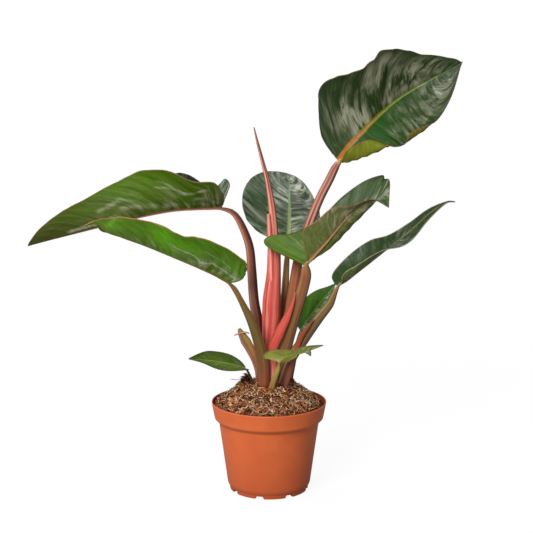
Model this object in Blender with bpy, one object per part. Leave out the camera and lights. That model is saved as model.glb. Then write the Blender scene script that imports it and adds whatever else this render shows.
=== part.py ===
"""Potted philodendron: nine leaves and a rolled new leaf in a tapered nursery pot.

Metres, +Z up, the front of the plant towards -Y. Sizes below are in millimetres.
"""
import math
import random

import bmesh
import bpy
import numpy as np

for old in list(bpy.data.objects):
    bpy.data.objects.remove(old, do_unlink=True)

MM = 0.001
GAP = 0.35  # clear space between two pieces that touch on the plant

# the injection-moulded pot: a rim band over a tapered body, drained at the foot
POT_HEIGHT = 84.0
RIM_RADIUS = 54.0
POT_SIDES = 48
NOTCHES = 8
NOTCH_WIDTH = 7.0
NOTCH_HEIGHT = 2.6
NOTCH_TURN = 31.0

# the peat and coir mix, filled just under the rim and heaped up to the crown
MIX_SEED = 4
MIX_EDGE = 81.0
MIX_MOUND = 21.0
MIX_SINK = 4.0

# the short stem in the middle of the mix that carries every stalk
CROWN_TOP = 100.5
CROWN_BASE = 91.0
CROWN_X = 24.0
CROWN_Y = 26.0

# loose bits on the mix
PERLITE_GRAINS = 6
BARK_CHIPS = 5
LOOSE_SEED = 7

# leaves: blade thickness at margin and middle, the midrib under it, and the mesh
BLADE_MARGIN = 0.5
BLADE_MIDDLE = 0.8
RIB_HEIGHT = 1.3
RIB_WIDTH = 1.8
EVEN_BELOW = 9.0
BLADE_ROWS = 14
BLADE_HALF = 5
STEM_SIDES = 10

# colours, linear
DARK_LEAF = (0.030, 0.075, 0.030)
FRESH_LEAF = (0.075, 0.200, 0.020)
STALK_PINK = (0.270, 0.100, 0.065)
STALK_BROWN = (0.120, 0.040, 0.030)
STALK_OLIVE = (0.170, 0.090, 0.030)
SPEAR_RED = (0.600, 0.110, 0.080)
TERRACOTTA = (0.530, 0.125, 0.040)
PEAT = (0.075, 0.036, 0.018)
BARK = (0.200, 0.095, 0.045)
PEARL = (0.780, 0.760, 0.700)
CORK = (0.150, 0.065, 0.035)


def material(name, colour, roughness):
    """A plain non-metal surface."""
    made = bpy.data.materials.new(name)
    made.use_nodes = True
    shader = made.node_tree.nodes["Principled BSDF"]
    shader.inputs["Base Color"].default_value = (*colour, 1.0)
    shader.inputs["Roughness"].default_value = roughness
    shader.inputs["Metallic"].default_value = 0.0
    return made


def add_solid(name, points, faces, surface, smooth=True):
    """An outward-facing solid from points in millimetres."""
    mesh = bpy.data.meshes.new(name)
    mesh.from_pydata([tuple(np.asarray(p) * MM) for p in points], [], faces)
    work = bmesh.new()
    work.from_mesh(mesh)
    bmesh.ops.recalc_face_normals(work, faces=work.faces[:])
    bmesh.ops.triangulate(work, faces=work.faces[:])
    work.to_mesh(mesh)
    work.free()
    mesh.materials.append(surface)
    if smooth:
        mesh.shade_smooth()
    made = bpy.data.objects.new(name, mesh)
    bpy.context.scene.collection.objects.link(made)
    return made


def skin(rings, looped=False):
    """Faces between equal rings of points; looped back on itself, or a fan over each end."""
    count = len(rings[0])
    points = [p for ring in rings for p in ring]
    faces = []
    for k in range(len(rings) if looped else len(rings) - 1):
        for j in range(count):
            n = (j + 1) % count
            up = (k + 1) % len(rings) * count
            faces.append((k * count + j, k * count + n, up + n, up + j))
    if not looped:
        last = (len(rings) - 1) * count
        points.append(np.mean(rings[0], axis=0))
        points.append(np.mean(rings[-1], axis=0))
        for j in range(count):
            n = (j + 1) % count
            faces.append((n, j, len(points) - 2))
            faces.append((last + j, last + n, len(points) - 1))
    return points, faces


def unit(vectors):
    """Rows scaled to length one."""
    size = np.linalg.norm(vectors, axis=-1, keepdims=True)
    return vectors / np.maximum(size, 1e-9)


def keyed_curve(keys, count):
    """Points along a smooth curve through the keys, the same number between each pair."""
    p = np.asarray(keys, float).reshape(len(keys), -1)
    p = np.vstack([2 * p[0] - p[1], p, 2 * p[-1] - p[-2]])
    at = np.linspace(0.0, len(keys) - 1, count)
    i = np.clip(at.astype(int), 0, len(keys) - 2)
    t = (at - i)[:, None]
    a, b, c, d = p[i], p[i + 1], p[i + 2], p[i + 3]
    return 0.5 * (2 * b + (c - a) * t + (2 * a - 5 * b + 4 * c - d) * t ** 2
                  + (3 * b - a - 3 * c + d) * t ** 3)


def smooth_route(points, count):
    """Even samples of a smooth curve through the points, and its length."""
    curve = keyed_curve(points, 24 * (len(points) - 1) + 1)
    run = np.r_[0.0, np.cumsum(np.linalg.norm(np.diff(curve, axis=0), axis=1))]
    at = np.linspace(0.0, run[-1], count)
    return np.stack([np.interp(at, run, curve[:, k]) for k in range(3)], -1), run[-1]


def keyed(keys, along):
    """A value eased between evenly spaced keys."""
    keys = np.asarray(keys, float)
    place = np.clip(along, 0.0, 1.0) * (len(keys) - 1)
    low = np.clip(place.astype(int), 0, len(keys) - 2)
    ease = place - low
    ease = ease * ease * (3 - 2 * ease)
    return keys[low] * (1 - ease) + keys[low + 1] * ease


def facing(turn, lift):
    """Direction turned from the front towards +X and lifted, in degrees."""
    turn, lift = math.radians(turn), math.radians(lift)
    return (math.sin(turn) * math.cos(lift), -math.cos(turn) * math.cos(lift), math.sin(lift))


def blade_surface(midrib, half_width, faces, fold, curl, lobe, widest, fullness, rows, half):
    """Grid of points and their distance from the midrib for a heart-shaped blade.

    half_width and lobe are (left, right). fold is the angle of each half over the flat and
    curl what it gains by the margin, (left, right), with keys from the stalk to the tip.
    """
    route, length = smooth_route(midrib, 81)
    tangent = unit(np.gradient(route, axis=0))
    along = np.linspace(0.0, 1.0, 81)
    wish = np.stack([keyed([facing(*f)[k] for f in faces], along) for k in range(3)], -1)
    up = unit(wish - (wish * tangent).sum(-1, keepdims=True) * tangent)
    u = np.linspace(0.0, 1.0, rows + 1)
    power = math.log(0.5) / math.log(widest)
    swell = np.sin(np.pi * (0.02 + 0.98 * u) ** power) ** fullness
    root = length * u ** 1.25
    grid = np.zeros((rows + 1, 2 * half + 1, 3))
    place = np.zeros((rows + 1, 2 * half + 1))
    for side, sign in ((0, -1.0), (1, 1.0)):
        reach = np.maximum(half_width[side] * swell, 0.25)
        edge = length * (u - lobe[side] * np.sin(np.pi * np.clip(u / 0.34, 0.0, 1.0)))
        for j in range(half + 1):
            t = j / half
            x = root + (edge - root) * t ** 1.15
            s = np.clip(x / length, 0.0, 1.0)
            start = np.radians(keyed(fold[side], s))
            gain = np.radians(keyed(curl[side], s)) * max(t, 1e-6)
            gain = np.where(np.abs(gain) < 1e-4, 1e-4, gain)
            out = (np.sin(start + gain) - np.sin(start)) / gain
            lift = (np.cos(start) - np.cos(start + gain)) / gain
            mid = np.stack([np.interp(s, along, route[:, k]) for k in range(3)], -1)
            ahead = unit(np.stack([np.interp(s, along, tangent[:, k]) for k in range(3)], -1))
            above = unit(np.stack([np.interp(s, along, up[:, k]) for k in range(3)], -1))
            across = np.cross(ahead, above)
            mid = mid + ahead * np.minimum(x, 0.0)[:, None]
            y = (reach * t)[:, None]
            column = half + int(sign) * j
            grid[:, column] = mid + sign * across * out[:, None] * y + above * lift[:, None] * y
            place[:, column] = reach * t
    return grid, place


def blade_solid(name, grid, normal, place, surface):
    """A closed thin blade over a grid of points, its midrib standing out underneath."""
    rows, half = grid.shape[0] - 1, (grid.shape[1] - 1) // 2
    u = np.linspace(0.0, 1.0, rows + 1)
    share = np.abs(np.arange(-half, half + 1)) / half
    thick = BLADE_MIDDLE + (BLADE_MARGIN - BLADE_MIDDLE) * share[None, :]
    rib = RIB_HEIGHT * (1 - 0.85 * u)[:, None] * np.exp(-(place / RIB_WIDTH) ** 2)
    top = grid + normal * (thick / 2)[..., None]
    low = grid - normal * (thick / 2 + rib)[..., None]
    wide = 2 * half + 1
    total = (rows + 1) * wide
    points = list(top.reshape(-1, 3)) + list(low.reshape(-1, 3))
    faces = []
    for i in range(rows):
        for j in range(2 * half):
            a = i * wide + j
            faces.append((a, a + 1, a + wide + 1, a + wide))
            faces.append((total + a + wide, total + a + wide + 1, total + a + 1, total + a))
    border = list(range(wide))
    border += [i * wide + wide - 1 for i in range(1, rows + 1)]
    border += [rows * wide + j for j in range(wide - 2, -1, -1)]
    border += [i * wide for i in range(rows - 1, 0, -1)]
    for k, a in enumerate(border):
        b = border[(k + 1) % len(border)]
        faces.append((b, a, total + a, total + b))
    return add_solid(name, points, faces, surface)


def even_normals(grid, reach):
    """Normals of a grid, levelled across the narrow rows where a fold would cross itself."""
    normal = unit(np.cross(np.gradient(grid, axis=1), np.gradient(grid, axis=0)))
    level = unit(normal.mean(axis=1, keepdims=True))
    share = np.clip(reach / EVEN_BELOW, 0.0, 1.0)[:, None, None]
    return unit(level + (normal - level) * share)


def blade(name, midrib, half_width, faces, fold, curl, lobe, widest, fullness, surface,
          rows=BLADE_ROWS, half=BLADE_HALF):
    """A heart-shaped blade given by its midrib, width and fold."""
    grid, place = blade_surface(midrib, half_width, faces, fold, curl, lobe, widest, fullness, rows, half)
    return blade_solid(name, grid, even_normals(grid, place.max(axis=1)), place, surface)


def rolled_blade(name, midrib, near, far, near_sag, far_sag, surface, rows=BLADE_ROWS, half=BLADE_HALF):
    """A twisted blade stretched from its midrib to its near and far margins.

    near_sag and far_sag are (direction, keys): how far each half hangs out of the straight.
    """
    mid, left, right = (keyed_curve(c, rows + 1) for c in (midrib, far, near))
    belly_far = mid + keyed_curve(far_sag[1], rows + 1) * np.array(far_sag[0])
    belly_near = (mid + right) / 2 + keyed_curve(near_sag[1], rows + 1) * np.array(near_sag[0])
    grid = np.zeros((rows + 1, 2 * half + 1, 3))
    for j in range(half + 1):
        t = j / half
        grid[:, half - j] = (1 - t) ** 2 * mid + 2 * t * (1 - t) * belly_far + t * t * left
        grid[:, half + j] = (1 - t) ** 2 * mid + 2 * t * (1 - t) * belly_near + t * t * right
    place = np.linalg.norm(grid - mid[:, None, :], axis=-1)
    return blade_solid(name, grid, even_normals(grid, place.max(axis=1)), place, surface)


def stalk_rings(route, radii, rings, sides, level_foot=True):
    """Oval rings along a route; radii are (across, deep) keys at the route's points."""
    line, _ = smooth_route(route, rings)
    tangent = unit(np.gradient(line, axis=0))
    knots = np.linspace(0.0, 1.0, rings)
    steps = np.linalg.norm(np.diff(np.asarray(route, float), axis=0), axis=1)
    marks = np.r_[0.0, np.cumsum(steps)] / steps.sum()
    across = np.interp(knots, marks, [r[0] for r in radii])
    deep = np.interp(knots, marks, [r[1] for r in radii])
    if level_foot:
        tangent[0] = (0.0, 0.0, 1.0)
    side = np.cross(tangent, np.array([0.0, 1.0, 0.0]))
    side = unit(side)
    front = np.cross(side, tangent)
    made = []
    for k in range(rings):
        turns = [2 * math.pi * j / sides for j in range(sides)]
        made.append([line[k] + side[k] * across[k] * math.cos(t) + front[k] * deep[k] * math.sin(t)
                     for t in turns])
    return made


def stalk(name, route, radii, surface, rings=12, sides=STEM_SIDES):
    """A solid leaf stalk standing on the crown."""
    points, faces = skin(stalk_rings(route, radii, rings, sides))
    return add_solid(name, points, faces, surface)


def wall_radius(height):
    """Inner radius of the pot wall at a height."""
    return float(np.interp(height, [1.6, 8.0, 64.2, 69.0, POT_HEIGHT], [35.2, 37.3, 45.5, 49.9, 52.6]))


def nursery_pot(surface):
    """Thin turned wall with a rim band, drained through notches at the foot."""
    profile = [(36.0, 0.0), (36.6, 0.5), (36.7, 3.2), (38.3, 5.0), (39.1, 8.0), (46.8, 64.6),
               (47.3, 65.6), (50.6, 69.0), (51.2, 70.2), (53.7, 83.2), (RIM_RADIUS - 0.5, POT_HEIGHT),
               (52.6, POT_HEIGHT - 0.1), (49.9, 69.0), (45.5, 64.2), (37.3, 8.0), (35.2, 1.6)]
    rings = []
    for radius, height in profile:
        turns = [2 * math.pi * j / POT_SIDES for j in range(POT_SIDES)]
        rings.append([np.array((radius * math.cos(t), radius * math.sin(t), height)) for t in turns])
    points, faces = skin(rings)
    pot = add_solid("nursery_pot", points, faces, surface)
    corners, sides = [], []
    for k in range(NOTCHES):
        turn = math.radians(NOTCH_TURN) + 2 * math.pi * k / NOTCHES
        ahead = np.array((math.cos(turn), math.sin(turn), 0.0))
        left = np.array((-math.sin(turn), math.cos(turn), 0.0))
        base = len(corners)
        for height in (-2.0, NOTCH_HEIGHT):
            for reach, wide in ((33.0, -1), (33.0, 1), (45.0, 1), (45.0, -1)):
                corners.append(ahead * reach + left * wide * NOTCH_WIDTH / 2 + np.array((0, 0, height)))
        for quad in ((0, 1, 2, 3), (7, 6, 5, 4), (0, 4, 5, 1), (1, 5, 6, 2), (2, 6, 7, 3), (3, 7, 4, 0)):
            sides.append(tuple(base + q for q in quad))
    cutter = add_solid("notch_cutter", corners, sides, surface, smooth=False)
    cutter.hide_render = True
    cutter.display_type = "WIRE"
    cut = pot.modifiers.new("notches", "BOOLEAN")
    cut.operation = "DIFFERENCE"
    cut.solver = "EXACT"
    cut.object = cutter
    return pot


def mix_height(x, y):
    """Height of the heaped mix over a point, before its lumps."""
    share = min(1.0, math.hypot(x, y) / 51.0)
    low_side = max(0.0, (x + y) / 72.0)
    return MIX_EDGE - MIX_SINK * low_side * share + MIX_MOUND * (1.0 - share ** 2.4)


def potting_mix(surface):
    """The root ball: filled to the wall, heaped up, with a seat for the crown."""
    random.seed(MIX_SEED)
    turns = [2 * math.pi * j / POT_SIDES for j in range(POT_SIDES)]
    rings = []
    for height in (2.2, 8.6, 63.9, 68.6):
        radius = wall_radius(height) - GAP - (0.5 if height > 60 else 0.25)
        rings.append([np.array((radius * math.cos(t), radius * math.sin(t), height)) for t in turns])
    for radius in (51.4, 47.0, 41.0, 35.0, 30.0):
        ring = []
        for t in turns:
            x, y = radius * math.cos(t), radius * math.sin(t)
            lump = random.uniform(-0.9, 0.9) if radius < 50 else 0.0
            height = mix_height(x, y) + lump
            if radius > 50:
                spread = (wall_radius(height) - GAP - 0.2) / radius
                x, y = x * spread, y * spread
            ring.append(np.array((x, y, height)))
        rings.append(ring)
    for extra, height in ((0.4, None), (0.4, CROWN_BASE - GAP)):
        ring = []
        for t in turns:
            x, y = (CROWN_X + extra) * math.cos(t), (CROWN_Y + extra) * math.sin(t)
            ring.append(np.array((x, y, height if height else min(mix_height(x, y), CROWN_TOP - 2))))
        rings.append(ring)
    points, faces = skin(rings)
    return add_solid("potting_mix", points, faces, surface)


def root_crown(surface):
    """The short stem that every stalk stands on, seated in the mix."""
    rings = []
    for share, height in ((1.0, CROWN_BASE), (1.0, CROWN_TOP - 1.2), (0.96, CROWN_TOP)):
        turns = [2 * math.pi * j / 32 for j in range(32)]
        rings.append([np.array((CROWN_X * share * math.cos(t), CROWN_Y * share * math.sin(t), height))
                      for t in turns])
    points, faces = skin(rings)
    return add_solid("root_crown", points, faces, surface)


def crumb(name, x, y, size, stretch, turn, surface, bed):
    """One loose bit resting on the mix."""
    c, s = math.cos(turn), math.sin(turn)
    shape = [(stretch, 0, 0.1), (-stretch, 0.1, 0.1), (0, 1, 0.15), (0.1, -1, 0.1), (0, 0, 0.8), (0, 0, -0.5)]
    spots = [(x + (px * c - py * s) * size, y + (px * s + py * c) * size, pz * size) for px, py, pz in shape]
    rest = -1000.0
    for px, py, pz in spots:
        hit, place, _, _ = bed.ray_cast((px * MM, py * MM, 0.2), (0.0, 0.0, -1.0))
        if hit:
            rest = max(rest, place.z / MM - pz)
    points = [np.array((px, py, pz + rest + GAP)) for px, py, pz in spots]
    faces = [(0, 2, 4), (2, 1, 4), (1, 3, 4), (3, 0, 4), (2, 0, 5), (1, 2, 5), (3, 1, 5), (0, 3, 5)]
    return add_solid(name, points, faces, surface, smooth=False)


def loose_bits(pearl, bark, bed):
    """The larger perlite grains and bark chips lying on the mix, clear of one another."""
    random.seed(LOOSE_SEED)
    seats = []
    while len(seats) < PERLITE_GRAINS + BARK_CHIPS:
        turn = random.uniform(0.0, 2 * math.pi)
        radius = random.uniform(31.0, 45.0)
        x, y = radius * math.cos(turn), radius * math.sin(turn)
        if all(math.hypot(x - a, y - b) > 9.0 for a, b in seats):
            seats.append((x, y))
    for k, (x, y) in enumerate(seats):
        turn = random.uniform(0.0, math.pi)
        if k < PERLITE_GRAINS:
            crumb("perlite_grain_%d" % (k + 1), x, y, 1.4, 1.1, turn, pearl, bed)
        else:
            crumb("bark_chip_%d" % (k + 1 - PERLITE_GRAINS), x, y, 2.1, 1.9, turn, bark, bed)


def leaf_blades(dark, fresh):
    """The nine blades: midrib, half widths, way they face, fold and curl of each half."""
    blade("leaf_a_blade", [(63, 2, 308), (78, -3, 328), (116, -8, 365), (171, -15, 394)], (53.0, 53.0),
          [(-25, 55), (-15, 15), (10, 15)],
          ([15, 40, 20], [35, 40, 15]), ([-10, 15, -15], [5, -5, -25]), (0.09, 0.09), 0.39, 0.79, dark)
    blade("leaf_b_blade", [(-43, 5, 265), (-90, -6, 263), (-143, -16, 253), (-215, -27, 238)], (40.0, 40.0),
          [(-160, 65), (-155, 50), (-155, 45)],
          ([20, 55, 40], [20, 40, 20]), ([-15, 35, 20], [-5, 10, 5]), (0.12, 0.08), 0.35, 0.71, dark)
    blade("leaf_c_blade", [(18, 30, 231), (18, 54, 247), (17, 85, 264), (19, 133, 280)], (43.0, 43.0),
          [(0, 60), (20, 50), (20, 55)],
          ([5, 10, 40], [20, -10, 15]), ([0, -10, 15], [-20, -35, -5]), (0.07, 0.07), 0.39, 0.79, dark)
    rolled_blade("leaf_d_blade",
                 [(33, -17, 215), (41, -20, 223), (50, -23, 233), (60, -26, 246), (69, -28, 259),
                  (81, -27, 269), (96, -24, 277), (107, -27, 270)],
                 [(36, -20, 217), (28, -27, 237), (30, -32, 251), (42, -36, 259), (55, -38, 270),
                  (72, -36, 273), (91, -29, 277), (107, -28, 270)],
                 [(29, -14, 216), (-1, -12, 231), (3, -9, 242), (36, -1, 252), (63, 2, 274),
                  (85, 0, 289), (107, -6, 295), (106, -26, 270)],
                 ((0.5, 0.0, -0.6), [0, 3, 4, 4, 3, 2, 0, 0]),
                 ((0.65, 0.5, -0.75), [0, 10, 20, 20, 17, 12, 4, 0]), dark, rows=16)
    rolled_blade("leaf_e_blade",
                 [(62, -25, 198), (69, -23, 203), (80, -21, 211), (92, -19, 220), (103, -18, 229),
                  (115, -18, 237), (128, -19, 247), (144, -21, 261), (165, -25, 275)],
                 [(64.5, -28, 199), (67, -33, 211), (77, -34, 218), (89, -34, 226), (102, -33, 232),
                  (118, -30, 235), (129, -26, 245), (146, -25.5, 260), (164, -27, 273)],
                 [(59, -20, 199), (57, -12, 205), (63, -6, 213), (78, -4, 227), (93, -4, 237),
                  (109, -6, 242), (126, -10, 253), (143, -15, 267), (165, -23, 275.5)],
                 ((0.4, -0.5, -0.75), [0, 4, 5, 4, 1, 0, 0, 0, 0]),
                 ((0.5, 0.5, -0.85), [0, 4, 6, 6, 5, 4, 3, 2, 0]), dark, rows=16)
    blade("leaf_f_blade", [(-35, -14, 199), (-70, -28, 218), (-118, -43, 241), (-161, -56, 258)], (33.5, 33.5),
          [(-165, 70), (-150, 75), (-155, 50)],
          ([25, 30, 35], [35, 25, 40]), ([5, 0, 10], [10, 5, -5]), (0.10, 0.09), 0.38, 0.72, fresh)
    blade("leaf_g_blade", [(29, 24, 146), (37, 22, 158), (48, 20, 174), (62, 18, 192)], (18.0, 18.0),
          [(-45, 40), (-25, 45), (-45, 35)],
          ([0, 10, -10], [20, 10, 20]), ([-20, -20, -15], [0, 5, -10]), (0.10, 0.10), 0.38, 0.76, fresh,
          rows=10, half=4)
    blade("leaf_i_blade", [(11, -24, 128), (18, -32, 135), (33, -42, 140), (48, -51, 150)], (14.0, 14.0),
          [(-175, 60), (175, 85), (170, 60)],
          ([15, 20, 25], [25, 20, 20]), ([0, -5, 0], [-15, 5, -5]), (0.12, 0.12), 0.37, 0.77, fresh,
          rows=10, half=4)
    blade("leaf_j_blade", [(-21, -15, 119), (-34, -23, 125), (-52, -34, 131), (-72, -43, 135)], (14.0, 14.0),
          [(-5, 70), (-25, 60), (-5, 60)],
          ([20, 5, 20], [10, 20, 35]), ([0, -20, 5], [0, -10, 20]), (0.07, 0.07), 0.38, 0.89, fresh,
          rows=10, half=4)


FOOT = CROWN_TOP + GAP


def leaf_stalks(pink, brown, olive):
    """The nine stalks from the crown to just short of their blades."""
    stalk("leaf_a_stalk", [(9, 13, FOOT), (15, 13, 139), (20, 14, 168), (27, 16, 213), (36, 15, 244),
                           (46, 13, 271), (55, 8, 289), (62.6, 2.4, 306.8)],
          [(5, 3.6), (5, 4), (5, 4.2), (4.6, 4), (4.4, 3.8), (4, 3.4), (3.8, 3.2), (1.7, 1.5)], pink)
    stalk("leaf_b_stalk", [(-4, 15, FOOT), (-7, 15, 134), (-11, 13, 160), (-14, 11, 178), (-16, 9, 207),
                           (-18, 7, 229), (-25, 6, 247), (-33, 5.6, 259), (-41.5, 5.2, 264.6)],
          [(4.6, 3.8), (4.8, 4), (4.8, 4), (4.5, 3.8), (4.2, 3.6), (3.8, 3.2), (3.3, 3), (2.8, 2.5),
           (1.7, 1.5)], brown, rings=15)
    stalk("leaf_c_stalk", [(9, 21, FOOT), (13, 22, 166), (14, 23, 190), (16, 25, 211), (17.9, 29, 229.8)],
          [(3.6, 2.6), (3, 2.6), (2.6, 2.3), (2.4, 2.2), (1.4, 1.3)], olive)
    stalk("leaf_d_stalk", [(10, 1, FOOT), (15, 0, 133), (24, -3, 166), (30, -7, 190), (32, -12, 202),
                           (32.8, -16.5, 213.4)],
          [(5.6, 4.2), (5.9, 4.2), (5.2, 4), (4.9, 3.8), (4.2, 3.2), (1.9, 1.7)], olive)
    stalk("leaf_e_stalk", [(14, -9, FOOT), (21, -11, 128), (31, -13, 145), (44, -16, 166), (54, -19, 180),
                           (61.3, -24.4, 196.5)],
          [(4.4, 3.2), (4.8, 3.4), (4.6, 3.2), (3.4, 2.8), (2.7, 2.4), (1.7, 1.6)], olive)
    stalk("leaf_f_stalk", [(-5, -13, FOOT), (-5, -14, 117), (-6, -15, 134), (-11, -15, 152),
                           (-21, -14, 172), (-26, -14, 183), (-34.4, -14, 197.4)],
          [(5.5, 3.8), (6.8, 3.6), (6.6, 3.4), (5.4, 3.2), (5.1, 2.8), (3.6, 2.6), (1.7, 1.6)], olive)
    stalk("leaf_g_stalk", [(19, 7, FOOT), (24, 13, 122), (28.5, 23.2, 144.6)],
          [(2.8, 2.4), (2.2, 2), (1.3, 1.2)], olive, rings=8, sides=8)
    stalk("leaf_i_stalk", [(4, -20, FOOT), (7, -22, 112), (10.8, -23.6, 126.6)],
          [(2.8, 2.3), (2.5, 2.2), (1.3, 1.2)], olive, rings=8, sides=8)
    stalk("leaf_j_stalk", [(-13, -11, FOOT), (-17, -13, 110), (-20.5, -14.7, 118)],
          [(1.4, 1.3), (1.2, 1.1), (0.9, 0.8)], brown, rings=7, sides=8)


def crown_pieces(red, pink, cork):
    """The rolled new leaf, the sheaths round it and a dry stub."""
    stalk("spear_leaf", [(1, 6, FOOT), (2, 6, 141), (6, 5, 198), (5, 5, 235), (3, 4, 263), (-1, 2, 289),
                         (-5, 1, 307), (-10, 0, 325), (-14, -1, 339)],
          [(3.4, 2.6), (3.6, 3), (3.8, 3.2), (3.9, 3.3), (3.2, 2.8), (2.1, 1.9), (1.4, 1.3), (1, 0.9),
           (0.4, 0.4)], red, rings=20, sides=8)
    outer = stalk_rings([(1, 6, FOOT), (1, 6, 138), (3, 6, 165), (4, 5, 189), (5.5, 5, 209), (5, 5, 236)],
                        [(5.2, 4.2), (6.6, 4.6), (8.4, 4.8), (8, 4.7), (6, 4.7), (5.2, 4.6)], 10, 12)
    inner = stalk_rings([(1, 6, FOOT), (2, 6, 138), (4, 5.6, 165), (5.6, 5, 189), (6, 5, 209), (5, 5, 236)],
                        [(4.2, 3.4), (4.4, 3.8), (4.5, 3.9), (4.5, 3.9), (4.5, 3.9), (4.4, 3.9)], 10, 12)
    points, faces = skin(outer + inner[::-1], looped=True)
    add_solid("spear_sheath", points, faces, red)
    stalk("inner_sheath", [(3, -5, FOOT), (6, -5.6, 124), (9.5, -6.2, 148), (15.5, -7.6, 164), (19.6, -9, 178),
                           (24, -11, 189)],
          [(3.6, 1.1), (4.6, 1.2), (4, 1), (2.4, 0.9), (1.6, 0.8), (0.6, 0.5)], pink, sides=8)
    stalk("red_sheath", [(15, -14.5, FOOT), (22, -16, 126), (28, -17.2, 146), (35, -19, 158), (40, -20, 166)],
          [(2.2, 1), (2.6, 1), (2.4, 1), (1.6, 0.8), (0.5, 0.4)], red, rings=9, sides=8)
    stalk("dry_stub", [(-12, -2, FOOT), (-16, -4, 124), (-20, -5, 137), (-25, -6, 147), (-28, -7, 154)],
          [(3.2, 2.6), (3.6, 2.4), (3.8, 2.2), (3.2, 1.8), (1.2, 1)], cork, rings=8, sides=8)


def build():
    """Every piece of the plant and its pot."""
    nursery_pot(material("terracotta_plastic", TERRACOTTA, 0.45))
    bed = potting_mix(material("peat_and_coir", PEAT, 0.95))
    root_crown(material("crown_bark", CORK, 0.85))
    bpy.context.view_layer.update()
    loose_bits(material("perlite", PEARL, 0.9), material("bark", BARK, 0.9), bed)
    dark = material("leaf_dark_gloss", DARK_LEAF, 0.30)
    fresh = material("leaf_fresh_green", FRESH_LEAF, 0.35)
    leaf_blades(dark, fresh)
    pink = material("stalk_pink", STALK_PINK, 0.40)
    brown = material("stalk_brown", STALK_BROWN, 0.40)
    olive = material("stalk_olive", STALK_OLIVE, 0.40)
    leaf_stalks(pink, brown, olive)
    red = material("spear_red", SPEAR_RED, 0.40)
    crown_pieces(red, pink, material("dry_cork", CORK, 0.90))


build()
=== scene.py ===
"""Potted philodendron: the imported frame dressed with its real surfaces.

The plant's own sizes are in millimetres, which MM turns into metres; colours are 0 to 255.
"""
import math
import random

import bmesh
import bpy
import numpy as np
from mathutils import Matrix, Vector, noise


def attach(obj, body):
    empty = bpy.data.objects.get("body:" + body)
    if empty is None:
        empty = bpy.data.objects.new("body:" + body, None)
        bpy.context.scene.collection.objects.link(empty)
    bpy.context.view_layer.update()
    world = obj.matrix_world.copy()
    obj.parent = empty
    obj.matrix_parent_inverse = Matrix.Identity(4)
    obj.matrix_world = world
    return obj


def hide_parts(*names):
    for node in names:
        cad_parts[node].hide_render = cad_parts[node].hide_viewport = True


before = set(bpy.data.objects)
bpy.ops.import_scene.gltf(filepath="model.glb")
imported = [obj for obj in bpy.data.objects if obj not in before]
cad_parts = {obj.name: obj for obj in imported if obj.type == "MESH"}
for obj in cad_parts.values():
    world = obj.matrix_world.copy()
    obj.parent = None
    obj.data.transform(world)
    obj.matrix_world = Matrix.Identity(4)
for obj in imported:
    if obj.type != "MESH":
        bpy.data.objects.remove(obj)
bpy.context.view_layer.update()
MM = 0.001


# ---------------------------------------------------------------- studio
# A plain white table and sweep under soft lamps. The big lamp is a cloth box high on the left,
# a second hangs over and behind the plant and draws the gloss on its leaves.

TABLE_SIZE = 14.0
TABLE_GREY = (0.30, 0.30, 0.30, 1.0)
TABLE_WHITE = (0.93, 0.93, 0.93, 1.0)
WHITE = (1.0, 1.0, 1.0, 1.0)
SWEEP_NEAR, SWEEP_FAR = 0.25, 0.8
SWEEP_WHITE = 0.9
ROOM_LIGHT = 0.32
CAMERA_PLACE = (-0.0023, -1.2134, 0.4275)
CAMERA_PITCH = math.radians(90.0 - 10.1)
CAMERA_LENS = 90.6


class Flow:
    """What one shader node hands on to the next; plain sums on it add Math nodes."""

    def __init__(self, socket):
        self.socket = socket
        self.tree = socket.id_data

    def sum(self, operation, other=None):
        return node(self.tree, "Math", 0, {0: self, 1: other}, operation=operation)

    def __add__(self, other):
        return self.sum("ADD", other)

    def __sub__(self, other):
        return self.sum("SUBTRACT", other)

    def __rsub__(self, other):
        return node(self.tree, "Math", 0, {0: other, 1: self}, operation="SUBTRACT")

    def __mul__(self, other):
        return self.sum("MULTIPLY", other)

    def __pow__(self, other):
        return self.sum("POWER", other)

    def __abs__(self):
        return self.sum("ABSOLUTE")


def feed(socket, value):
    """Lead a flow into a socket, or set a number or a colour on it."""
    if isinstance(value, Flow):
        value.tree.links.new(value.socket, socket)
    elif value is not None:
        socket.default_value = value


def node(tree, kind, out, feeds=(), **settings):
    """A shader node with its settings and what feeds it; its output out is handed on."""
    made = tree.nodes.new("ShaderNode" + kind)
    for key, value in settings.items():
        setattr(made, key, value)
    for key, value in dict(feeds).items():
        feed(made.inputs[key], value)
    return Flow(made.outputs[out])


def new_material(name):
    """An empty material with its node tree and its Principled shader."""
    made = bpy.data.materials.new(name)
    made.use_nodes = True
    return made, made.node_tree, made.node_tree.nodes["Principled BSDF"]


def dress(shader, body, rough, gloss=0.5):
    """Give a shader its colour, its roughness and its gloss."""
    feed(shader.inputs["Base Color"], body)
    feed(shader.inputs["Roughness"], rough)
    feed(shader.inputs["Specular IOR Level"], gloss)


def spread(factor, low, high, to_low=0.0, to_high=1.0):
    """A factor stretched from one range to another and held at its ends."""
    return node(factor.tree, "MapRange", "Result", {"Value": factor, "From Min": low, "From Max": high,
                                                    "To Min": to_low, "To Max": to_high}, clamp=True)


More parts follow.
